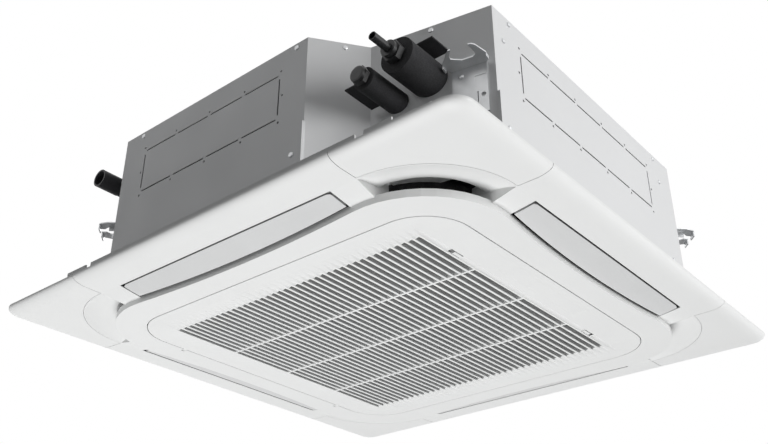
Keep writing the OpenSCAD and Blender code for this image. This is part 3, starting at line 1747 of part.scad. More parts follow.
module panel_frame() {
    wall = duct_setback + skin;
    hole_wall_top = -8;
    color(panel_white) {
        difference() {
            union() {
                lip_body(0);
                four_sides()
                    slope_wedge();
                translate([0, 0, -lip_inner_drop + through])
                    linear_extrude(duct_top + lip_inner_drop - through)
                        difference() {
                            square(2 * (outlet_edge + skin), center = true);
                            four_sides()
                                translate([cover_seam, cover_seam])
                                    difference() {
                                        square(panel_half);
                                        circle(recess_slot_r + 1);
                                    }
                        }
                locating_rim();
            }
            four_sides() {
                long_duct();
                recess();
                bridge_cuts();
                difference() {
                    prism([[cover_seam, cover_seam], [panel_half + 1, cover_seam],
                        [panel_half + 1, panel_half + 1], [cover_seam, panel_half + 1]],
                        -island_drop, through);
                    translate([0, 0, -island_drop - through])
                        linear_extrude(island_drop + 3 * through)
                            difference() {
                                square(2 * panel_side, center = true);
                                cover_plan(0);
                            }
                    lip_body(cover_t + seat);
                    translate([0, 0, -1.5])
                        linear_extrude(4)
                            polygon(rounded_square(panel_half - rim_inset, panel_corner_r - rim_inset));
                }
            }
            prism(island(-wall), -panel_half, panel_half);
            translate([0, 0, -lip_drop + 2 * skin])
                linear_extrude(lip_drop)
                    lip_channel();
        }
        translate([0, 0, -island_drop + island_rim - through])
            linear_extrude(duct_top + island_drop - island_rim + through)
                difference() {
                    polygon(island(-duct_setback));
                    polygon(island(-wall));
                }
        difference() {
            translate([0, 0, -island_drop])
                linear_extrude(island_rim)
                    difference() {
                        polygon(island(0));
                        polygon(rounded_square(grille_hole, grille_hole_r));
                    }
            for (y = [-hinge_y, hinge_y])
                translate([0, y, 0])
                    hinge_seat();
        }
        translate([0, 0, -island_drop + island_rim - through])
            linear_extrude(island_drop + hole_wall_top - island_rim + through)
                difference() {
                    polygon(rounded_square(grille_hole + skin, grille_hole_r + skin));
                    polygon(rounded_square(grille_hole, grille_hole_r));
                }
        translate([0, 0, duct_top - deck_t])
            linear_extrude(deck_t)
                difference() {
                    windows(deck_t);
                    polygon(inset(casing, window_limit));
                }
        keeper();
        mirror([0, 1, 0])
            keeper();
        four_sides()
            screw_tab();
    }
}

module corner_cover(k) {
    color(panel_white)
        rotate(90 * k)
            intersection() {
                difference() {
                    lip_body(0);
                    lip_body(cover_t);
                }
                translate([0, 0, -island_drop])
                    linear_extrude(island_drop + 1)
                        cover_plan(cover_gap);
            }
}

module corner_cover_1() {
    corner_cover(0);
}

module corner_cover_2() {
    corner_cover(1);
}

module corner_cover_3() {
    corner_cover(2);
}

module corner_cover_4() {
    corner_cover(3);
}

// Foam gasket between the panel's ducts and the drain pan
module panel_gasket() {
    color(foam_black)
        translate([0, 0, duct_top + seat])
            linear_extrude(pan_bottom - duct_top - 2 * seat)
                difference() {
                    polygon(inset(casing, sheet + flange + 2 * seat + 1.5));
                    polygon(island(-duct_setback - skin));
                    intersection() {
                        windows();
                        polygon(inset(casing, window_limit));
                    }
                }
}

// An air flap closed in its outlet: a thin blade whose inner edge follows the island
module flap(k) {
    camber = 0.8;
    steps = 8;
    mid = (flap_outer + island_mid) / 2;
    function low(d) = slope_z(d) - camber * (1 - pow((d - mid) / (flap_outer - mid), 2));
    reach = duct_inner + 10;
    ear = 2.5;
    ear_r = 5;
    line = [for (i = [0:steps]) let (d = flap_outer + (reach - flap_outer) * i / steps) [d, low(d)]];
    top_line = [for (p = reversed(line)) [p.x, p.y + flap_t]];
    color(flap_grey)
        rotate(90 * k)
            difference() {
                union() {
                    difference() {
                        run(concat(line, top_line), 2 * flap_end);
                        prism(island(flap_inner_gap), -panel_half, panel_half);
                    }
                    for (s = [-1, 1])
                        translate([s * (flap_end - ear / 2), 0, 0])
                            run([[flap_d - 12, low(flap_d - 12) + 1], [flap_d + 14, low(flap_d + 14) + 1],
                                [flap_d + ear_r, flap_z], [flap_d - ear_r, flap_z]], ear);
                    for (s = [-1, 1])
                        translate([s * (flap_end - ear / 2), flap_d, flap_z])
                            rotate([0, 90, 0])
                                cylinder(r = ear_r, h = ear, center = true);
                    translate([-flap_end - flap_pin_length, flap_d, flap_z])
                        rotate([0, 90, 0])
                            cylinder(r = flap_pin_r, h = flap_pin_length + 1);
                    translate([flap_end - 1, flap_d, flap_z])
                        rotate([0, 90, 0])
                            cylinder(r = flap_pin_r, h = flap_pin_length + 1);
                    for (x = [-2:2])
                        translate([x * flap_end * 0.4, 0, 0])
                            run([[flap_d - 16, low(flap_d - 16) + 1], [flap_d + 16, low(flap_d + 16) + 1],
                                [flap_d + 8, flap_z - 3], [flap_d - 8, flap_z - 3]], 1.6);
                }
                translate([flap_end + 1, flap_d, flap_z])
                    rotate([0, 90, 0])
                        cylinder(r = motor_stub_r + running_gap, h = flap_pin_length);
                for (s = [0, 1])
                    mirror([s, 0, 0])
                        translate([flap_end - flap_corner_r, flap_outer - flap_corner_r, -island_drop])
                            linear_extrude(island_drop)
                                difference() {
                                    square(2 * flap_corner_r);
                                    circle(flap_corner_r);
                                }
            }
}

module flap_1() {
    flap(0);
}

module flap_2() {
    flap(1);
}

module flap_3() {
    flap(2);
}

module flap_4() {
    flap(3);
}

// A swing motor in its bridge: a can over the flap's axis, with an offset shaft
module swing_motor(k) {
    body_x = outlet_half + skin + motor_gap;
    color(zinc)
        rotate(90 * k) {
            translate([body_x, flap_d, flap_z + motor_rise])
                rotate([0, 90, 0])
                    cylinder(r = swing_motor_r, h = swing_motor_length);
            translate([body_x + swing_motor_length - 1, flap_d - 6, flap_z + motor_rise - 4])
                cube([6, 12, 12]);
            translate([body_x - 1.5, flap_d, flap_z])
                rotate([0, 90, 0])
                    cylinder(r = 2.8, h = 2);
            translate([outlet_half, flap_d, flap_z])
                rotate([0, 90, 0])
                    cylinder(r = motor_stub_r, h = skin + motor_gap + 0.5);
        }
}

module swing_motor_1() {
    swing_motor(0);
}

module swing_motor_2() {
    swing_motor(1);
}

module swing_motor_3() {
    swing_motor(2);
}

module swing_motor_4() {
    swing_motor(3);
}

module panel_screws() {
    head_h = 3.4;
    color(zinc)
        four_sides()
            translate([0, screw_d, duct_top - skin]) {
                translate([0, 0, -seat])
                    mirror([0, 0, 1])
                        screw_head(5, head_h);
                translate([0, 0, -seat - 0.5])
                    cylinder(r = screw_r, h = skin + screw_depth - 2);
            }
}

// Intake grille: a frame with slats, tapering grooves and two hinges behind one edge
module slat_cutter(x) {
    low = grille_t;
    bays = 4;
    for (j = [0:bays - 1]) {
        y0 = max(-slat_half, (j - bays / 2) * cross_pitch + cross_width / 2);
        y1 = min(slat_half, (j + 1 - bays / 2) * cross_pitch - cross_width / 2);
        translate([x, y0, -grille_drop])
            rotate([90, 0, 180])
                linear_extrude(y1 - y0)
                    polygon([[-slat_gap / 2, -through], [slat_gap / 2, -through], [slat_gap / 2, low * 0.5],
                        [slat_gap_back / 2, slat_depth + through],
                        [-slat_gap_back / 2, slat_depth + through], [-slat_gap / 2, low * 0.5]]);
    }
}

module tapered_groove(x) {
    for (s = [0, 1])
        mirror([0, s, 0])
            translate([x - slat_gap / 2, 0, -grille_drop])
                rotate([90, 0, 90])
                    linear_extrude(slat_gap)
                        polygon([[slat_half - 1, -1], [slat_half - 1, groove_depth],
                            [slat_half, groove_depth], [slat_half + groove_length, 0],
                            [slat_half + groove_length, -1]]);
}

// An ear beyond the grille's edge, with its pin
module grille_hinge() {
    reach = -grille_half + grille_t - hinge_x;
    translate([hinge_x, -hinge_width / 2, hinge_z - hinge_ear_r])
        cube([reach, hinge_width, 2 * hinge_ear_r]);
    translate([hinge_x, 0, hinge_z])
        rotate([90, 0, 0]) {
            cylinder(r = hinge_ear_r, h = hinge_width, center = true);
            cylinder(r = hinge_pin_r, h = hinge_width + 2 * hinge_pin_grip, center = true);
        }
}

latch_plate_x = [groove_x - 4.8, latch_post_x + latch_post.x + 1.5];
module latch_guides() {
    rail_t = 2;
    lip = 2.2;
    z_low = grille_back + latch_play + latch_plate_t + latch_play;
    y0 = latch_y - knob_length / 2 - 2;
    length = knob_length + latch_travel + 4;
    translate([latch_plate_x[1] + latch_play, y0, grille_back - 1])
        cube([rail_t, length, z_low + rail_t - grille_back + 1]);
    translate([latch_plate_x[1] + latch_play - 1, y0, z_low])
        cube([rail_t, length, rail_t]);
    translate([latch_plate_x[0] - 1, y0, z_low])
        cube([1 + lip, length, rail_t]);
}

module intake_grille() {
    wall = grille_t;
    block_x0 = -slat_half - slat_gap_back / 2 - slat_wall;
    block_x1 = latch_plate_x[0] - latch_play;
    block_y = slat_half + slat_wall;
    slot_w = knob_width + 2 * latch_play;
    color(panel_white)
        difference() {
            union() {
                prism(rounded_square(grille_half, grille_r), -grille_drop, grille_back);
                translate([0, 0, -grille_drop])
                    linear_extrude(grille_wall)
                        difference() {
                            polygon(rounded_square(grille_half, grille_r));
                            polygon(rounded_square(grille_half - wall, grille_r - wall));
                        }
                translate([block_x0, -block_y, -grille_drop + through])
                    cube([block_x1 - block_x0, 2 * block_y, slat_depth - through]);
                for (y = [-hinge_y, hinge_y])
                    translate([0, y, 0])
                        grille_hinge();
                latch_guides();
                mirror([0, 1, 0])
                    latch_guides();
            }
            for (i = [0:slat_count - 1])
                slat_cutter(slat_x0 + i * slat_pitch);
            for (i = [0:slat_count])
                tapered_groove(slat_x0 + i * slat_pitch);
            translate([groove_x - slat_gap / 2, -slat_half, -grille_drop - through])
                cube([slat_gap, 2 * slat_half, groove_depth + through]);
            for (s = [0, 1])
                mirror([0, s, 0])
                    translate([groove_x - slot_w / 2, latch_y - knob_length / 2 - latch_play,
                        -grille_drop - through])
                        cube([slot_w, knob_length + latch_travel + 2 * latch_play, 2 * grille_t]);
            translate([recess_plate_x, -recess_plate_length / 2 - 3.5, -grille_drop - through])
                cube([recess_plate_width, recess_plate_length, through + 0.6]);
        }
}

// Filter behind the slats: a frame, bars and a fine mesh sheet
module air_filter() {
    bar = 4;
    mesh_t = 0.6;
    rim = 9;
    color(plastic_black) {
        translate([0, 0, filter_bottom])
            linear_extrude(filter_t)
                difference() {
                    square(2 * filter_half, center = true);
                    square(2 * (filter_half - rim), center = true);
                }
        translate([0, 0, filter_bottom + filter_t / 2 - mesh_t])
            linear_extrude(mesh_t)
                square(2 * (filter_half - rim / 2), center = true);
        translate([0, 0, filter_bottom])
            linear_extrude(filter_t / 2 + 1)
                for (x = [-4:4]) {
                    translate([x * filter_pitch - bar / 2, -filter_half + 1])
                        square([bar, 2 * filter_half - 2]);
                    translate([-filter_half + 1, x * filter_pitch - bar / 2])
                        square([2 * filter_half - 2, bar]);
                }
    }
}

// A latch: a knob in the last groove, a plate behind it and a hook for the keeper
module grille_latch(s) {
    plate_z = grille_back + latch_play;
    hook_low = latch_lug_z[1] + 0.5;
    y0 = latch_y - latch_post.y / 2;
    color(panel_white)
        mirror([0, s, 0]) {
            translate([groove_x - knob_width / 2, latch_y - knob_length / 2, -grille_drop + latch_play])
                cube([knob_width, knob_length, plate_z + grille_drop]);
            translate([latch_plate_x[0], latch_y - knob_length / 2, plate_z])
                cube([latch_plate_x[1] - latch_plate_x[0], knob_length, latch_plate_t]);
            translate([latch_post_x, y0, plate_z])
                cube([latch_post.x, latch_post.y, hook_low + 2 - plate_z]);
            translate([latch_post_x, y0, hook_low])
                cube([latch_post.x, latch_head, 2]);
        }
}

module grille_latch_1() {
    grille_latch(0);
}

module grille_latch_2() {
    grille_latch(1);
}

top_plate();
front_plate();
left_plate();
back_plate();
right_plate();
pipe_corner_plate();
casing_screws();
hanger_bracket_1();
hanger_bracket_2();
hanger_bracket_3();
hanger_bracket_4();
foam_lining();
drain_pan();
bell_mouth();
control_box();
control_box_cover();
main_board();
terminal_block();
fan_motor();
motor_bushes();
motor_shaft();
turbo_fan();
fan_nut();
coil_fins();
coil_tubes();
tube_plates();
distributor();
expansion_valve();
liquid_pipe();
gas_pipe();
liquid_sleeve();
gas_sleeve();
gas_flare_nut();
liquid_cap_nut();
drain_pump();
pump_impeller();
float_switch();
float_body();
drain_socket();
drain_hose();
panel_frame();
corner_cover_1();
corner_cover_2();
corner_cover_3();
corner_cover_4();
panel_gasket();
flap_1();
flap_2();
flap_3();
flap_4();
swing_motor_1();
swing_motor_2();
swing_motor_3();
swing_motor_4();
panel_screws();
intake_grille();
air_filter();
grille_latch_1();
grille_latch_2();
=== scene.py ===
"""Looks of a four-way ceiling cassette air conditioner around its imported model.

Metres, +Z up. The origin is the centre of the cover panel, in the plane of the ceiling.
The forms built here are written in millimetres and scaled when they are finished.
The camera looks up at the part from below, at the corner where the pipes leave.
"""
import json
import math

import bmesh
import bpy
from mathutils import Matrix, Vector
from mathutils.geometry import tessellate_polygon


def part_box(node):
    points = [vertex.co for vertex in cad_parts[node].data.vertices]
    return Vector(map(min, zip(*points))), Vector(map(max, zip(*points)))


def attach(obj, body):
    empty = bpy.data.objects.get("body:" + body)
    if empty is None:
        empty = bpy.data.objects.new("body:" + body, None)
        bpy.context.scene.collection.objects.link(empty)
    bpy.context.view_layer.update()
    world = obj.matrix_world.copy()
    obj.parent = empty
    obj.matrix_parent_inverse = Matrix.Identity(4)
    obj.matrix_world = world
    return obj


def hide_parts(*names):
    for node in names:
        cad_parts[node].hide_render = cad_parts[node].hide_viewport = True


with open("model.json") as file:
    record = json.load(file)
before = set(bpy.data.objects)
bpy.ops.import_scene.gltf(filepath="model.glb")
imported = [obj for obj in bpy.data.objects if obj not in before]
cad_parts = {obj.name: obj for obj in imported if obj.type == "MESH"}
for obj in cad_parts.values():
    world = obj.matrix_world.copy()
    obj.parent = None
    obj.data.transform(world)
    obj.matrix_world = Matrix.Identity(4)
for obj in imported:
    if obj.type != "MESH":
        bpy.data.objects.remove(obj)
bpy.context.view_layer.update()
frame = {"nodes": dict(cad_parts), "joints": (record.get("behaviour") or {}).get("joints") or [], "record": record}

MM = 0.001
NODES = frame["nodes"]
RECORD = frame["record"]
BODY_OF = {node: body for body, nodes in RECORD["behaviour"]["bodies"].items() for node in nodes}
SLOT_OF = {part["node"]: part["material_slot"] for part in RECORD["subparts"]}
JOINTS = {joint["name"]: joint for joint in frame["joints"]}


def rounded(corner):
    """A place in metres as one in millimetres, to a thousandth."""
    return [round(c / MM, 3) for c in corner]


def extent(node):
    """A node's lowest and highest corners in millimetres."""
    return [rounded(corner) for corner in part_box(node)]


# Materials: how their wear, grain and foam cells vary, and a function for each kind

WEAR_RATIO = 3
WEAR_DETAIL = 4
GRAIN_DETAIL = 2
GRAIN_DEPTH = 0.0002
ROUGH_SPREAD = 0.05
FOAM_DRIFT = 30
FOAM_DARK = 0.8
FOAM_LIGHT = 1.25
FOAM_BUMP = 0.5
FOAM_ROUGH = (0.7, 0.95)
CELL_REACH = 0.6


def new_material(name):
    """A node material, with its node tree, its shader and the object's coordinates."""
    material = bpy.data.materials.new(name)
    material.use_nodes = True
    tree = material.node_tree
    shader = tree.nodes["Principled BSDF"]
    place = tree.nodes.new("ShaderNodeTexCoord").outputs["Object"]
    return material, tree, shader, place


def noise(tree, place, scale, detail=3.0):
    """Soft noise from 0 to 1; scale is in waves to a metre."""
    node = tree.nodes.new("ShaderNodeTexNoise")
    node.inputs["Scale"].default_value = scale
    node.inputs["Detail"].default_value = detail
    tree.links.new(place, node.inputs["Vector"])
    return node.outputs["Fac"]


def spread(tree, value, low, high, start=0.3, end=0.7):
    """A value from start to end as one from low to high."""
    node = tree.nodes.new("ShaderNodeMapRange")
    node.inputs["From Min"].default_value = start
    node.inputs["From Max"].default_value = end
    node.inputs["To Min"].default_value = low
    node.inputs["To Max"].default_value = high
    tree.links.new(value, node.inputs["Value"])
    return node.outputs["Result"]


def two_tone(tree, value, dark, light):
    """A colour between two, led by a value."""
    node = tree.nodes.new("ShaderNodeMix")
    node.data_type = "RGBA"
    colours = [socket for socket in node.inputs if socket.type == "RGBA"]
    colours[0].default_value = (*dark, 1)
    colours[1].default_value = (*light, 1)
    tree.links.new(value, node.inputs["Factor"])
    return [socket for socket in node.outputs if socket.type == "RGBA"][0]


def bump(tree, shader, height, strength, distance):
    """Tilts the shader's normal by a height that is distance metres at most."""
    node = tree.nodes.new("ShaderNodeBump")
    node.inputs["Strength"].default_value = strength
    node.inputs["Distance"].default_value = distance
    tree.links.new(height, node.inputs["Height"])
    tree.links.new(node.outputs["Normal"], shader.inputs["Normal"])


def shade(colour, share):
    """A colour made darker or lighter by a share."""
    return tuple(min(1.0, c * share) for c in colour)


def surface(name, colour, rough, metal, tone, tone_scale, grain_scale, grain):
    """Colour that drifts by a tone, a roughness that varies and a fine grain.

    The scales are those of the drift and of the grain, in waves to a metre.
    """
    material, tree, shader, place = new_material(name)
    drift = spread(tree, noise(tree, place, tone_scale), 0, 1)
    tree.links.new(two_tone(tree, drift, shade(colour, 1 - tone), shade(colour, 1 + tone)),
                   shader.inputs["Base Color"])
    wear = noise(tree, place, tone_scale * WEAR_RATIO, WEAR_DETAIL)
    tree.links.new(spread(tree, wear, rough - ROUGH_SPREAD, rough + ROUGH_SPREAD),
                   shader.inputs["Roughness"])
    shader.inputs["Metallic"].default_value = metal
    bump(tree, shader, noise(tree, place, grain_scale, GRAIN_DETAIL), grain, GRAIN_DEPTH)
    return material


def foam(name, colour, cell, depth):
    """Closed-cell foam: a matte skin of small cells, so many to a metre and so deep."""
    material, tree, shader, place = new_material(name)
    cells = tree.nodes.new("ShaderNodeTexVoronoi")
    cells.inputs["Scale"].default_value = cell
    tree.links.new(place, cells.inputs["Vector"])
    drift = spread(tree, noise(tree, place, FOAM_DRIFT), 0, 1)
    tree.links.new(two_tone(tree, drift, shade(colour, FOAM_DARK), shade(colour, FOAM_LIGHT)),
                   shader.inputs["Base Color"])
    matte = spread(tree, cells.outputs["Distance"], *FOAM_ROUGH, 0, CELL_REACH)
    tree.links.new(matte, shader.inputs["Roughness"])
    bump(tree, shader, cells.outputs["Distance"], FOAM_BUMP, depth)
    return material


MATERIALS = {
    "casing_steel": surface("casing_steel", (0.72, 0.725, 0.73), 0.5, 0.1, 0.012, 5, 350, 0.03),
    "zinc_steel": surface("zinc_steel", (0.66, 0.67, 0.68), 0.36, 0.7, 0.05, 60, 700, 0.05),
    "dark_foam": foam("dark_foam", (0.03, 0.03, 0.031), 260, 0.0006),
    "black_foam": foam("black_foam", (0.022, 0.022, 0.024), 520, 0.0005),
    "black_plastic": surface("black_plastic", (0.03, 0.03, 0.033), 0.55, 0, 0.1, 20, 900, 0.1),
    "fan_plastic": surface("fan_plastic", (0.74, 0.75, 0.75), 0.45, 0, 0.02, 12, 900, 0.05),
    "motor_paint": surface("motor_paint", (0.06, 0.065, 0.07), 0.4, 0.2, 0.08, 20, 600, 0.1),
    "black_rubber": surface("black_rubber", (0.02, 0.02, 0.02), 0.75, 0, 0.15, 40, 700, 0.15),
    "hose_rubber": surface("hose_rubber", (0.4, 0.41, 0.41), 0.65, 0, 0.06, 30, 700, 0.1),
    "circuit_board": surface("circuit_board", (0.03, 0.16, 0.08), 0.4, 0, 0.15, 90, 1500, 0.2),
    "fin_aluminium": surface("fin_aluminium", (0.7, 0.71, 0.72), 0.35, 0.85, 0.08, 200, 1200, 0.3),
    "copper_pipe": surface("copper_pipe", (0.72, 0.36, 0.22), 0.3, 0.95, 0.08, 70, 800, 0.05),
    "brass": surface("brass", (0.72, 0.55, 0.27), 0.28, 0.95, 0.05, 60, 900, 0.05),
    "dark_fittings": surface("dark_fittings", (0.022, 0.022, 0.023), 0.42, 0.3, 0.1, 60, 900, 0.05),
    "panel_white": surface("panel_white", (0.8, 0.805, 0.8), 0.42, 0, 0.008, 6, 1300, 0.06),
    "flap_grey": surface("flap_grey", (0.64, 0.645, 0.645), 0.45, 0, 0.015, 10, 1300, 0.08),
}


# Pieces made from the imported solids, with smooth curves and crisp edges

# Faces within the first angle are one level region. An edge between two wide regions
# is smooth within the second angle, and any other edge within the third.
FLAT_ANGLE = math.radians(0.3)
BEND_ANGLE = math.radians(1.5)
SOLID_CREASE = math.radians(24)
# Mean width in metres from which a level region keeps its own normal
WIDE = 0.006
MERGE = 1e-6
# How far edges are drawn in for the gaps that show round flaps and corner covers
FLAP_EDGE = extent("flap_4")[1][0] * MM
FLAP_EDGE_BAND = 0.003
FLAP_EDGE_GAP = 0.0018
COVER_SHARE = 0.9965
# Corners of the space that holds the pipe corner's screws
PIPE_SCREWS_LOW = Vector((0.23, -0.4, -1.0))
PIPE_SCREWS_HIGH = Vector((0.41, -0.3, 1.0))
QUARTERS = range(1, 5)
DRESSED = ["panel_frame", *(f"corner_cover_{k}" for k in QUARTERS), *(f"flap_{k}" for k in QUARTERS),
           "front_plate", "left_plate", "back_plate", "right_plate", "pipe_corner_plate",
           "top_plate", *(f"hanger_bracket_{k}" for k in QUARTERS), "gas_sleeve",
           "liquid_sleeve", "gas_flare_nut", "liquid_cap_nut", "gas_pipe", "drain_socket",
           "grille_latch_1", "grille_latch_2", "casing_screws"]


def flat_regions(form):
    """Each face's flat region, and each region's normal and mean width."""
    region = {}
    found = []
    for start in form.faces:
        if start.index in region:
            continue
        region[start.index] = len(found)
        stack, area, rim, normal = [start], 0.0, 0.0, Vector()
        while stack:
            face = stack.pop()
            size = face.calc_area()
            area += size
            normal += face.normal * size
            for edge in face.edges:
                level = [f for f in edge.link_faces
                         if f is not face and face.normal.angle(f.normal, 0) < FLAT_ANGLE]
                for other in level:
                    if other.index not in region:
                        region[other.index] = len(found)
                        stack.append(other)
                if not level:
                    rim += edge.calc_length()
        found.append((normal.normalized(), 2 * area / rim if rim else 0.0))
    return region, found


def fans_round(vert):
    """The faces round a point in groups that no sharp edge parts."""
    left = list(vert.link_faces)
    while left:
        fan = [left.pop()]
        for face in fan:
            for edge in face.edges:
                if edge.smooth and vert in edge.verts:
                    for other in edge.link_faces:
                        if other in left:
                            left.remove(other)
                            fan.append(other)
        yield fan


def even_normals(mesh, crease):
    """Flat faces keep their normal up to their edges, and only narrow strips are blended."""
    form = bmesh.new()
    form.from_mesh(mesh)
    region, found = flat_regions(form)
    for face in form.faces:
        face.smooth = True
    for edge in form.edges:
        pair = [region[f.index] for f in edge.link_faces]
        angle = edge.calc_face_angle(0) if len(pair) == 2 else math.pi
        both_wide = all(found[r][1] > WIDE for r in pair)
        edge.smooth = angle < crease and not (both_wide and angle > BEND_ANGLE)
    normals = {}
    form.verts.index_update()
    for vert in form.verts:
        for fan in fans_round(vert):
            corners = [loop for face in fan for loop in face.loops if loop.vert is vert]
            wide = [c for c in corners if found[region[c.face.index]][1] > WIDE]
            total = Vector()
            for corner in wide or corners:
                total += found[region[corner.face.index]][0] * corner.calc_angle()
            for corner in corners:
                normals[corner.face.index, corner.vert.index] = total.normalized() or corner.face.normal
    form.to_mesh(mesh)
    form.free()
    mesh.normals_split_custom_set([
        normals[polygon.index, mesh.loops[i].vertex_index].copy()
        for polygon in mesh.polygons for i in polygon.loop_indices])


def dressed(node, change):
    """A copy of a solid's mesh whose curves are smooth and whose flat faces stay flat."""
    mesh = NODES[node].data.copy()
    mesh.name = node + "_piece"
    form = bmesh.new()
    form.from_mesh(mesh)
    bmesh.ops.remove_doubles(form, verts=form.verts, dist=MERGE)
    if change:
        change(form)
    form.to_mesh(mesh)
    form.free()
    even_normals(mesh, SOLID_CREASE)
    piece = bpy.data.objects.new(node + "_piece", mesh)
    bpy.context.scene.collection.objects.link(piece)
    mesh.materials.clear()
    mesh.materials.append(MATERIALS[SLOT_OF[node]])
    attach(piece, BODY_OF[node])
    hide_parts(node)
    return piece


def narrowed(form):
    """Moves a flap's long outer edge in, which leaves the gap that shows round it."""
    for vert in form.verts:
        for axis in (0, 1):
            across = vert.co[axis]
            if abs(across) > FLAP_EDGE - FLAP_EDGE_BAND:
                vert.co[axis] = across - math.copysign(FLAP_EDGE_GAP, across)


def loosened(form):
    """Draws a corner cover's edges in, so that its seams show."""
    middle = sum((vert.co for vert in form.verts), Vector()) / len(form.verts)
    for vert in form.verts:
        for axis in (0, 1):
            vert.co[axis] = middle[axis] + (vert.co[axis] - middle[axis]) * COVER_SHARE


def without_pipe_screws(form):
    """Leaves out the screws of the pipe corner, which make_pipe_screws() adds elsewhere."""
    gone = [vert for vert in form.verts
            if all(low < c < high for low, c, high in zip(PIPE_SCREWS_LOW, vert.co, PIPE_SCREWS_HIGH))]
    bmesh.ops.delete(form, geom=gone, context="VERTS")


CHANGES = {"casing_screws": without_pipe_screws,
           **{f"flap_{k}": narrowed for k in QUARTERS},
           **{f"corner_cover_{k}": loosened for k in QUARTERS}}


def dress_nodes():
    """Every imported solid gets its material; those in view get even shading too."""
    for node, solid in NODES.items():
        solid.data.materials.clear()
        solid.data.materials.append(MATERIALS[SLOT_OF[node]])
        if node in DRESSED:
            dressed(node, CHANGES.get(node))


# Forms: points and faces in millimetres, joined into one mesh

FORM_CREASE = math.radians(38)
FORM_MERGE = 1e-7


class Form:
    """A mesh under construction. Points are in millimetres."""

    def __init__(self):
        self.points = []
        self.faces = []

    def point(self, x, y, z):
        """Adds a point and returns its number."""
        self.points.append((x, y, z))
        return len(self.points) - 1

    def loop(self, points):
        """Adds points and returns their numbers."""
        return [self.point(*p) for p in points]

    def bridge(self, first, second):
        """Four-sided faces between two closed loops with as many points."""
        count = len(first)
        for i in range(count):
            j = (i + 1) % count
            self.faces.append((first[i], first[j], second[j], second[i]))

    def sheet(self, outer, holes=()):
        """Flat triangles between an outer loop and the loops of its holes."""
        loops = [outer, *holes]
        flat = [[Vector((*self.points[i][:2], 0)) for i in loop] for loop in loops]
        order = [i for loop in loops for i in loop]
        for a, b, c in tessellate_polygon(flat):
            self.faces.append((order[a], order[b], order[c]))

    def bar(self, outline, place):
        """A closed bar between two copies of an outline; place() gives a copy's point."""
        ends = [[self.point(*place(u, v, end)) for u, v in outline] for end in (0, 1)]
        self.bridge(*ends)
        for end in ends:
            self.faces.append(tuple(end))

    def box(self, low, high):
        """A closed box between two corners."""
        outline = [(low[0], low[1]), (high[0], low[1]), (high[0], high[1]), (low[0], high[1])]
        self.bar(outline, lambda x, y, end: (x, y, high[2] if end else low[2]))

    def finish(self, name, node, slot=None):
        """The form as an object on a node's body, with the node's finish or another slot's."""
        mesh = bpy.data.meshes.new(name)
        mesh.from_pydata([tuple(c * MM for c in p) for p in self.points], [], self.faces)
        form = bmesh.new()
        form.from_mesh(mesh)
        bmesh.ops.remove_doubles(form, verts=form.verts, dist=FORM_MERGE)
        bmesh.ops.recalc_face_normals(form, faces=form.faces)
        form.to_mesh(mesh)
        form.free()
        even_normals(mesh, FORM_CREASE)
        piece = bpy.data.objects.new(name, mesh)
        bpy.context.scene.collection.objects.link(piece)
        slot = slot or SLOT_OF[node]
        mesh.materials.append(MATERIALS[slot])
        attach(piece, BODY_OF[node])
        return piece


def rounded_box(x0, y0, x1, y1, radius, steps):
    """Points round a rectangle with rounded corners, counterclockwise."""
    corners = [(x1 - radius, y1 - radius), (x0 + radius, y1 - radius),
               (x0 + radius, y0 + radius), (x1 - radius, y0 + radius)]
    return [(cx + radius * math.cos(math.radians(90 * q + 90 * i / steps)),
             cy + radius * math.sin(math.radians(90 * q + 90 * i / steps)))
            for q, (cx, cy) in enumerate(corners) for i in range(steps + 1)]


def rounded_square(inset):
    """Points round the grille's outline, or round one that lies further in."""
    half = GRILLE_HALF - inset
    return rounded_box(-half, -half, half, half, GRILLE_CORNER_R - inset, GRILLE_CORNER_STEPS)


def at_level(outline, z):
    """An outline's points at one height."""
    return [(x, y, z) for x, y in outline]


# Intake grille: a face with tapering grooves that run into through slots between slats

# The plate, its rounded outline and the wall round it
(_, _, FACE_Z), (_, GRILLE_HALF, SLAT_BACK_Z) = extent("intake_grille")
PLATE_T = 3.0
PLATE_BACK_Z = FACE_Z + PLATE_T
GRILLE_CORNER_R = 76.8
GRILLE_CORNER_STEPS = 14
GRILLE_WALL_T = 3.0
GRILLE_WALL_TOP = -18.0
GRILLE_EDGE_R = 1.0
GRILLE_EDGE_STEPS = 4
# A square field of slots along Y, which widen to the back and have rounded edges
SLOT_COUNT = 40
SLOT_PITCH = 13.1
SLOT_HALF = 4.3
SLOT_HALF_BACK = 4.9
SLOT_LIP_R = 1.2
FIELD_HALF = SLOT_COUNT * SLOT_PITCH / 2
SLOT_FIRST = -FIELD_HALF
HALF_OFFSETS = (2.2, SLOT_HALF, 4.5, 5.0, SLOT_HALF + SLOT_LIP_R)
SLOT_OFFSETS = (*(-offset for offset in reversed(HALF_OFFSETS)), 0.0, *HALF_OFFSETS)
# Ribs across the slots, and where their rounded edges bend
RIB_CENTRES = (-133.0, 0.0, 133.0)
RIB_HALF = 2.0
RIB_BENDS = (0.0, 0.2, 0.7, SLOT_LIP_R)
# The block that the slats form at the back
BLOCK_LEFT = -269.7
BLOCK_RIGHT = 256.9
BLOCK_HALF = 265.0
BACK_LIP_SHARE = 0.9
# Grooves that taper off beyond the slots' ends, and the last one, which holds the latches
GROOVE_LENGTH = 36.0
GROOVE_DEPTH = 3.2
GROOVE_TAPER = 0.75
GROOVE_ROUND = 1.2
LAST_GROOVE_DEPTH = 1.9
LATCH_SLOT = (176.7, 205.3)
TAPER_STEPS = (1.0, 0.86, 0.72, 0.58, 0.45, 0.33, 0.22, (BLOCK_HALF - FIELD_HALF) / GROOVE_LENGTH)
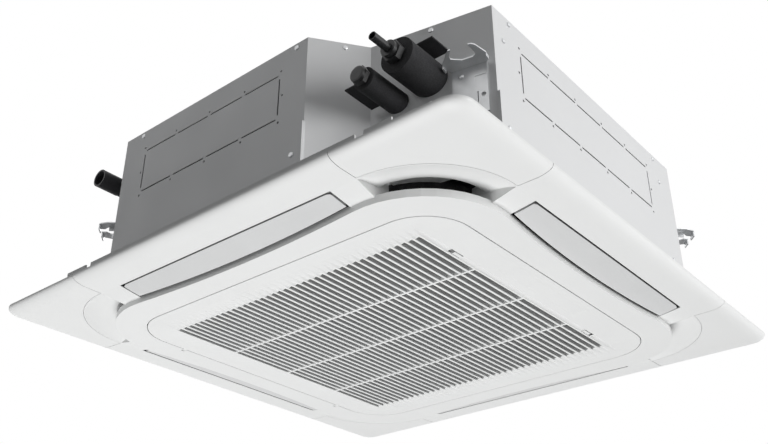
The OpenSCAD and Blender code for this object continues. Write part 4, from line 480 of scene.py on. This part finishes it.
# The bare place beside the slats: its corners, its rounding and its depth
BARE_PLACE = (281.0, -113.0, 309.0, 106.0)
BARE_PLACE_R = 4.0
BARE_PLACE_DEPTH = 0.35
BARE_PLACE_STEPS = 3
BARE_PLACE_CORNER_STEPS = 5
# Hinge ears and pins on the joint's axis
HINGE_X, _, HINGE_Z = rounded(JOINTS["grille_hinge"]["pos_m"])
HINGE_Y = 200.0
EAR_R = 3.0
EAR_HALF_WIDTH = 3.0
EAR_ROOT = 1.0
PIN_R = 1.5
PIN_GRIP = 4.0
PIN_ROOT = 0.5
ROUND_STEPS = 12
# What guides the latches, as the corners of boxes on the +Y side
GUIDE_RAIL = ((309.8, 175.0, -26.5), (311.8, 207.0, -20.9))
GUIDE_LIPS = (((308.8, 175.0, -22.9), (310.8, 207.0, -20.9)),
              ((256.2, 175.0, -22.9), (259.4, 207.0, -20.9)))


def add_hinge(form, y):
    """An ear beyond the grille's edge, with its pin."""

    def arc(radius, start, steps):
        turns = [math.radians(start + 180 * i / ROUND_STEPS) for i in range(steps)]
        return [(HINGE_X + radius * math.cos(a), HINGE_Z + radius * math.sin(a)) for a in turns]

    root = EAR_ROOT - GRILLE_HALF
    ear = arc(EAR_R, 90, ROUND_STEPS + 1) + [(root, HINGE_Z - EAR_R), (root, HINGE_Z + EAR_R)]
    form.bar(ear, lambda x, z, end: (x, y + EAR_HALF_WIDTH * (1 if end else -1), z))
    pin = arc(PIN_R, 0, 2 * ROUND_STEPS)
    for side in (-1, 1):
        near = y + side * (EAR_HALF_WIDTH - PIN_ROOT)
        far = y + side * (EAR_HALF_WIDTH + PIN_GRIP)
        form.bar(pin, lambda x, z, end: (x, far if end else near, z))


def mirrored_box(form, low, high, side):
    """A box on one side of the X axis, or its mirror image on the other."""
    y0, y1 = sorted((side * low[1], side * high[1]))
    form.box((low[0], y0, low[2]), (high[0], y1, high[2]))


def grille_rows():
    """Places along Y where the face of the grille bends."""
    rows = {FIELD_HALF}
    rows |= {FIELD_HALF + GROOVE_LENGTH * step for step in TAPER_STEPS}
    rows |= set(LATCH_SLOT)
    both = {sign * y for y in rows for sign in (-1, 1)}
    for rib in RIB_CENTRES:
        for bend in RIB_BENDS:
            both |= {rib - (RIB_HALF - bend), rib + (RIB_HALF - bend)}
    return sorted(both)


def open_bays():
    """Where each stretch of a slot starts and ends along Y, between the ribs."""
    edges = [-FIELD_HALF]
    for rib in RIB_CENTRES:
        edges += [rib - RIB_HALF, rib + RIB_HALF]
    edges.append(FIELD_HALF)
    return list(zip(edges[::2], edges[1::2]))


def lip_height(distance):
    """How far the rounded edge of a slot rises, at a distance from the slot."""
    reach = SLOT_LIP_R - distance
    return SLOT_LIP_R - math.sqrt(SLOT_LIP_R ** 2 - reach ** 2) if reach > 0 else 0.0


def groove_height(offset, y):
    """How far the tapering groove beyond a slot rises above the face."""
    left = 1 - (abs(y) - FIELD_HALF) / GROOVE_LENGTH
    if left <= 1e-6:
        return 0.0
    width = SLOT_OFFSETS[-1] * left ** GROOVE_TAPER
    share = 1 - (offset / width) ** 2
    return GROOVE_DEPTH * left * share ** GROOVE_ROUND if share > 0 else 0.0


def face_height(slot, offset, y):
    """How far the grille's face rises above its plane, beside a slot or beyond its end."""
    if abs(y) >= FIELD_HALF:
        return groove_height(offset, y)
    if slot == SLOT_COUNT:
        return min(LAST_GROOVE_DEPTH, groove_height(offset, FIELD_HALF))
    across = max(0.0, abs(offset) - SLOT_HALF)
    along = min(max(0.0, y0 - y, y - y1) for y0, y1 in open_bays())
    return lip_height(math.hypot(across, along))


def back_x(slot, offset):
    """Where a column of the face lies at the back of the slats."""
    if slot == 0 and offset == SLOT_OFFSETS[0]:
        return BLOCK_LEFT
    if slot == SLOT_COUNT - 1 and offset == SLOT_OFFSETS[-1]:
        return BLOCK_RIGHT
    centre = SLOT_FIRST + slot * SLOT_PITCH
    reach = abs(offset)
    if reach <= SLOT_HALF:
        return centre + offset * SLOT_HALF_BACK / SLOT_HALF
    return centre + math.copysign(SLOT_HALF_BACK + (reach - SLOT_HALF) * BACK_LIP_SHARE, offset)


def rim_of(columns, rows):
    """The grid places round a rectangle of columns and rows, counterclockwise."""
    low, high = rows[0], rows[-1]
    left, right = columns[0], columns[-1]
    return ([(c, low) for c in columns[:-1]] + [(right, r) for r in rows[:-1]]
            + [(c, high) for c in reversed(columns[1:])] + [(left, r) for r in reversed(rows[1:])])


def grille_grid(form, columns, rows, cut, place):
    """Faces over a grid, apart from the cells that cut() names; returns the points by grid place."""
    made = {}

    def at(c, r):
        if (c, r) not in made:
            made[c, r] = form.point(*place(c, r))
        return made[c, r]

    for c in range(len(columns) - 1):
        for r in range(len(rows) - 1):
            if not cut(c, r):
                form.faces.append((at(c, r), at(c + 1, r), at(c + 1, r + 1), at(c, r + 1)))
    return at


class Slats:
    """The grid of the grille's face: its columns, its rows, and which cells are open."""

    def __init__(self):
        self.columns = [(slot, offset) for slot in range(SLOT_COUNT + 1) for offset in SLOT_OFFSETS]
        self.rows = grille_rows()
        self.row_of = {round(y, 4): i for i, y in enumerate(self.rows)}
        self.bays = [self.row_span(a, b) for a, b in open_bays()]
        near, far = LATCH_SLOT
        self.latch_rows = [self.row_span(near, far), self.row_span(-far, -near)]
        self.first_open = SLOT_OFFSETS.index(-SLOT_HALF)
        self.last_open = SLOT_OFFSETS.index(SLOT_HALF)
        self.block_columns = self.columns[:SLOT_COUNT * len(SLOT_OFFSETS)]
        self.low = self.row_of[-BLOCK_HALF]
        self.block_rows = self.rows[self.low:self.row_of[BLOCK_HALF] + 1]

    def row_span(self, first, last):
        return self.row_of[round(first, 4)], self.row_of[round(last, 4)]

    def column_span(self, slot):
        """The columns from one edge of a slot to the other."""
        start = slot * len(SLOT_OFFSETS)
        return list(range(start + self.first_open, start + self.last_open + 1))

    def is_cut(self, c, r):
        """Whether a cell is open: one of a slot's bays, or a latch's slot in the last groove."""
        slot, place = divmod(c, len(SLOT_OFFSETS))
        if not self.first_open <= place < self.last_open:
            return False
        spans = self.latch_rows if slot == SLOT_COUNT else self.bays
        return any(a <= r < b for a, b in spans)

    def front_place(self, c, r):
        slot, offset = self.columns[c]
        return (SLOT_FIRST + slot * SLOT_PITCH + offset, self.rows[r],
                FACE_Z + face_height(slot, offset, self.rows[r]))

    def back_place(self, c, r):
        return back_x(*self.columns[c]), self.block_rows[r], SLAT_BACK_Z


def whole(columns, rows):
    """The rim of a whole grid."""
    return rim_of(list(range(len(columns))), list(range(len(rows))))


def plate_rim(form, rim):
    """A rim's points, set down on the back of the grille's plate."""
    return form.loop([(*form.points[i][:2], PLATE_BACK_Z) for i in rim])


def add_slats(form, slats):
    """The slotted face and block; returns the face's rim and the holes in the plate's back."""
    front = grille_grid(form, slats.columns, slats.rows, slats.is_cut, slats.front_place)
    back = grille_grid(form, slats.block_columns, slats.block_rows,
                       lambda c, r: slats.is_cut(c, r + slats.low), slats.back_place)
    for slot in range(SLOT_COUNT):
        for a, b in slats.bays:
            rim = rim_of(slats.column_span(slot), list(range(a, b + 1)))
            form.bridge([front(c, r) for c, r in rim], [back(c, r - slats.low) for c, r in rim])
    latch_holes = []
    for a, b in slats.latch_rows:
        rim = [front(c, r) for c, r in rim_of(slats.column_span(SLOT_COUNT), list(range(a, b + 1)))]
        latch_holes.append(plate_rim(form, rim))
        form.bridge(rim, latch_holes[-1])
    block_rim = [back(c, r) for c, r in whole(slats.block_columns, slats.block_rows)]
    block_foot = plate_rim(form, block_rim)
    form.bridge(block_rim, block_foot)
    face_rim = [front(c, r) for c, r in whole(slats.columns, slats.rows)]
    return face_rim, [block_foot, *latch_holes]


def add_rim(form):
    """The rounded edge and the wall round the grille; returns its loops in the face and the back."""
    loops = []
    for i in range(GRILLE_EDGE_STEPS + 1):
        a = math.radians(90 * i / GRILLE_EDGE_STEPS)
        outline = rounded_square(GRILLE_EDGE_R * (1 - math.sin(a)))
        loops.append(form.loop(at_level(outline, FACE_Z + GRILLE_EDGE_R * (1 - math.cos(a)))))
    outer, inner = rounded_square(0), rounded_square(GRILLE_WALL_T)
    loops += [form.loop(at_level(outer, GRILLE_WALL_TOP)),
              form.loop(at_level(inner, GRILLE_WALL_TOP)),
              form.loop(at_level(inner, PLATE_BACK_Z))]
    for one, other in zip(loops, loops[1:]):
        form.bridge(one, other)
    return loops[0], loops[-1]


def make_grille():
    """The intake grille: slats, rim, hinge ears, and the rails that guide the latches."""
    form = Form()
    face_rim, back_holes = add_slats(form, Slats())
    face_edge, back_edge = add_rim(form)
    form.sheet(back_edge, back_holes)
    form.sheet(face_edge, [face_rim, bare_place(form)])
    for side in (-1, 1):
        add_hinge(form, side * HINGE_Y)
        for low, high in (GUIDE_RAIL, *GUIDE_LIPS):
            mirrored_box(form, low, high, side)
    piece = form.finish("intake_grille_piece", "intake_grille")
    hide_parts("intake_grille")


def bare_place(form):
    """The bare, slightly sunk place beside the slats; returns its rim in the face."""
    x0, y0, x1, y1 = BARE_PLACE
    loops = []
    for i in range(BARE_PLACE_STEPS + 1):
        t = i / BARE_PLACE_STEPS
        outline = rounded_box(x0 + t, y0 + t, x1 - t, y1 - t, BARE_PLACE_R - t,
                              BARE_PLACE_CORNER_STEPS)
        rise = BARE_PLACE_DEPTH * (0.5 - 0.5 * math.cos(math.pi * t))
        loops.append(form.loop(at_level(outline, FACE_Z + rise)))
    for one, other in zip(loops, loops[1:]):
        form.bridge(one, other)
    form.sheet(loops[-1])
    return loops[0]


# Painted shade: a dark skin in the air ducts, and the screws of the pipe corner

# The island ring: half its width, and its round corners' radius and centre
ISLAND_MID = 366.0
ISLAND_CORNER_R = 136.0
ISLAND_CORNER_C = 242.0
# The duct round the island lies inside the ring's outline
DUCT_SETBACK = 34.0
DUCT_LOW = -15.8
DUCT_TOP = 17.5
# The dark skin that paints the shade in the ducts: its gap from the walls and its thickness
SHADE_SKIN_GAP = 0.1
SHADE_SKIN_T = 0.25
# The outlets: their outer side, half their length, their inner side, and the outer wall's bends
OUTLET_EDGE = 418.0
OUTLET_HALF = 224.0
OUTLET_IN = 340.0
DUCT_OUTER = 401.5
MOUTH_LOW = -12.4
MOUTH_BEND = -7.0
ARC_STEPS = 12


def turned(points, quarter):
    """Points turned about Z by so many quarters."""
    for _ in range(quarter):
        points = [(-y, x) for x, y in points]
    return points


def island_outline(grown):
    """The island's outline, moved outwards: round corners joined by sides that bow.

    Each side is an arc that meets the corners' arcs smoothly and passes through its middle.
    """
    r, c, mid = ISLAND_CORNER_R, ISLAND_CORNER_C, ISLAND_MID
    bow_r = ((c ** 2 - r ** 2 + (mid - c) ** 2) / 2) / (r - mid + c)
    bow_y = mid + bow_r
    bow_a = math.atan(c / (bow_y - c))
    points = []
    for i in range(ARC_STEPS + 1):
        a = -bow_a + (math.pi / 2 + 2 * bow_a) * i / ARC_STEPS
        points.append((c + (r + grown) * math.cos(a), c + (r + grown) * math.sin(a)))
    for i in range(1, ARC_STEPS):
        a = bow_a * (1 - 2 * i / ARC_STEPS)
        points.append(((bow_r - grown) * math.sin(a), bow_y - (bow_r - grown) * math.cos(a)))
    return [p for quarter in range(4) for p in turned(points, quarter)]


def make_painted_duct_shade():
    """A dark skin on the ducts' walls that paints the shade deep inside them: round the island, and in each
    outlet.
    """
    form = Form()
    near = island_outline(SHADE_SKIN_GAP - DUCT_SETBACK)
    far = island_outline(SHADE_SKIN_GAP + SHADE_SKIN_T - DUCT_SETBACK)
    loops = [form.loop(at_level(near, DUCT_LOW)), form.loop(at_level(near, DUCT_TOP)),
             form.loop(at_level(far, DUCT_TOP)), form.loop(at_level(far, DUCT_LOW))]
    for one, other in zip(loops, loops[1:] + loops[:1]):
        form.bridge(one, other)
    edge = OUTLET_EDGE - SHADE_SKIN_GAP
    outer = [(edge, MOUTH_LOW), (edge, MOUTH_BEND), (DUCT_OUTER - SHADE_SKIN_GAP, DUCT_TOP)]
    skin = outer + [(d - SHADE_SKIN_T, z) for d, z in reversed(outer)]
    wall = outer + [(OUTLET_IN, DUCT_TOP), (OUTLET_IN, MOUTH_LOW)]
    end = OUTLET_HALF - SHADE_SKIN_GAP
    for quarter in range(4):
        def at(d, z, along):
            x, y = turned([(d, along)], quarter)[0]
            return x, y, z
        form.bar(skin, lambda d, z, last: at(d, z, end if last else -end))
        for side in (-1, 1):
            form.bar(wall, lambda d, z, last: at(d, z, side * (end - (SHADE_SKIN_T if last else 0))))
    # The skin is painted shade and takes the dark foam's material
    form.finish("painted_duct_shade", "panel_frame", slot="dark_foam")


SCREW_R = 4.2
SCREW_H = 2.2
SCREW_STEPS = 20
SCREW_PROFILE = ((SCREW_R, -0.2), (SCREW_R, 0.7), (0.86 * SCREW_R, 1.5), (0.5 * SCREW_R, SCREW_H))
# Each screw's place on its plate, and the way that the plate faces
PIPE_SCREWS = (((204.0, -373.5, 265.9), (0.81, -0.587)), ((325.8, -322.3, 266.9), (0.197, -0.98)))


def make_pipe_screws():
    """Two domed screw heads on the faces of the pipe corner."""
    form = Form()
    for (x, y, z), (out_x, out_y) in PIPE_SCREWS:
        rings = []
        for r, rise in SCREW_PROFILE:
            ring = []
            for i in range(SCREW_STEPS):
                a = 2 * math.pi * i / SCREW_STEPS
                along = r * math.cos(a)
                ring.append((x - out_y * along + out_x * rise, y + out_x * along + out_y * rise,
                             z + r * math.sin(a)))
            rings.append(form.loop(ring))
        for one, other in zip(rings, rings[1:]):
            form.bridge(one, other)
        for ring in (rings[0], rings[-1]):
            form.faces.append(tuple(ring))
    form.finish("pipe_corner_screws", "casing_screws")


# Floor, light and camera

FLOOR_Z = -3.2
FLOOR_HALF = 9.0
FLOOR_CELLS = 6
WORLD_COLOUR = (0.96, 0.98, 1.0, 1)
WORLD_STRENGTH = 0.11
LAMPS = {
    "key": {"place": (3.0, 0.3, 0.2), "target": (0.1, 0, 0.1), "size": 1.6, "watts": 60},
    "below": {"place": (-0.3, -0.3, -2.7), "target": (0, 0, 0), "size": 2.4, "watts": 72},
    "behind": {"place": (-2.5, 2.5, 2.5), "target": (0, 0, 0.1), "size": 2.4, "watts": 40},
}
CAMERA_PLACE = Vector((0.9632, -1.1948, -0.6608))
CAMERA_TARGET = Vector((-0.0188, -0.0156, 0.2018))
SENSOR = 36.0
LENS = 44.7


def larger(tree, one, other):
    """The larger of two values."""
    node = tree.nodes.new("ShaderNodeMath")
    node.operation = "MAXIMUM"
    tree.links.new(one, node.inputs[0])
    tree.links.new(other, node.inputs[1])
    return node.outputs[0]


def background(tree, colour, strength):
    """A background shader of one colour."""
    node = tree.nodes.new("ShaderNodeBackground")
    node.inputs["Color"].default_value = colour
    node.inputs["Strength"].default_value = strength
    return node.outputs[0]


def make_world():
    """White to the camera, in reflections and through glass, and a soft light otherwise."""
    world = bpy.data.worlds.new("studio")
    world.use_nodes = True
    bpy.context.scene.world = world
    tree = world.node_tree
    path = tree.nodes.new("ShaderNodeLightPath").outputs
    seen = larger(tree, path["Is Camera Ray"], path["Is Glossy Ray"])
    mix = tree.nodes.new("ShaderNodeMixShader")
    tree.links.new(larger(tree, seen, path["Is Transmission Ray"]), mix.inputs[0])
    tree.links.new(background(tree, WORLD_COLOUR, WORLD_STRENGTH), mix.inputs[1])
    tree.links.new(background(tree, (1, 1, 1, 1), 1.0), mix.inputs[2])
    tree.links.new(mix.outputs[0], tree.nodes["World Output"].inputs["Surface"])


def make_floor():
    """A plain pale floor, a room's height below the part."""
    form = bmesh.new()
    bmesh.ops.create_grid(form, x_segments=FLOOR_CELLS, y_segments=FLOOR_CELLS, size=FLOOR_HALF)
    mesh = bpy.data.meshes.new("floor")
    form.to_mesh(mesh)
    form.free()
    mesh.transform(Matrix.Translation((0, 0, FLOOR_Z)))
    floor = bpy.data.objects.new("floor", mesh)
    bpy.context.scene.collection.objects.link(floor)
    mesh.materials.append(surface("floor_paint", (0.82, 0.82, 0.82), 0.8, 0, 0.01, 1, 40, 0.02))


def aimed(item, place, target):
    """Puts a lamp or camera at a place, turned to a target, and adds it to the scene."""
    item.location = place
    item.rotation_euler = (Vector(target) - Vector(place)).to_track_quat("-Z", "Y").to_euler()
    bpy.context.scene.collection.objects.link(item)


def area_lamp(name, place, target, size, watts):
    """A round soft lamp that the camera doesn't see."""
    data = bpy.data.lights.new(name, "AREA")
    data.shape = "DISK"
    data.size = size
    data.energy = watts
    lamp = bpy.data.objects.new(name, data)
    lamp.visible_camera = False
    aimed(lamp, place, target)


def make_camera():
    """The photograph's view, fitted to the corners of the panel and the casing."""
    data = bpy.data.cameras.new("view")
    data.sensor_width = SENSOR
    data.lens = LENS
    camera = bpy.data.objects.new("view", data)
    aimed(camera, CAMERA_PLACE, CAMERA_TARGET)
    bpy.context.scene.camera = camera


# The whole scene

dress_nodes()
make_grille()
make_painted_duct_shade()
make_pipe_screws()
make_world()
make_floor()
for lamp_name, lamp_setting in LAMPS.items():
    area_lamp(lamp_name, **lamp_setting)
make_camera()
bpy.context.scene.view_settings.view_transform = "Standard"
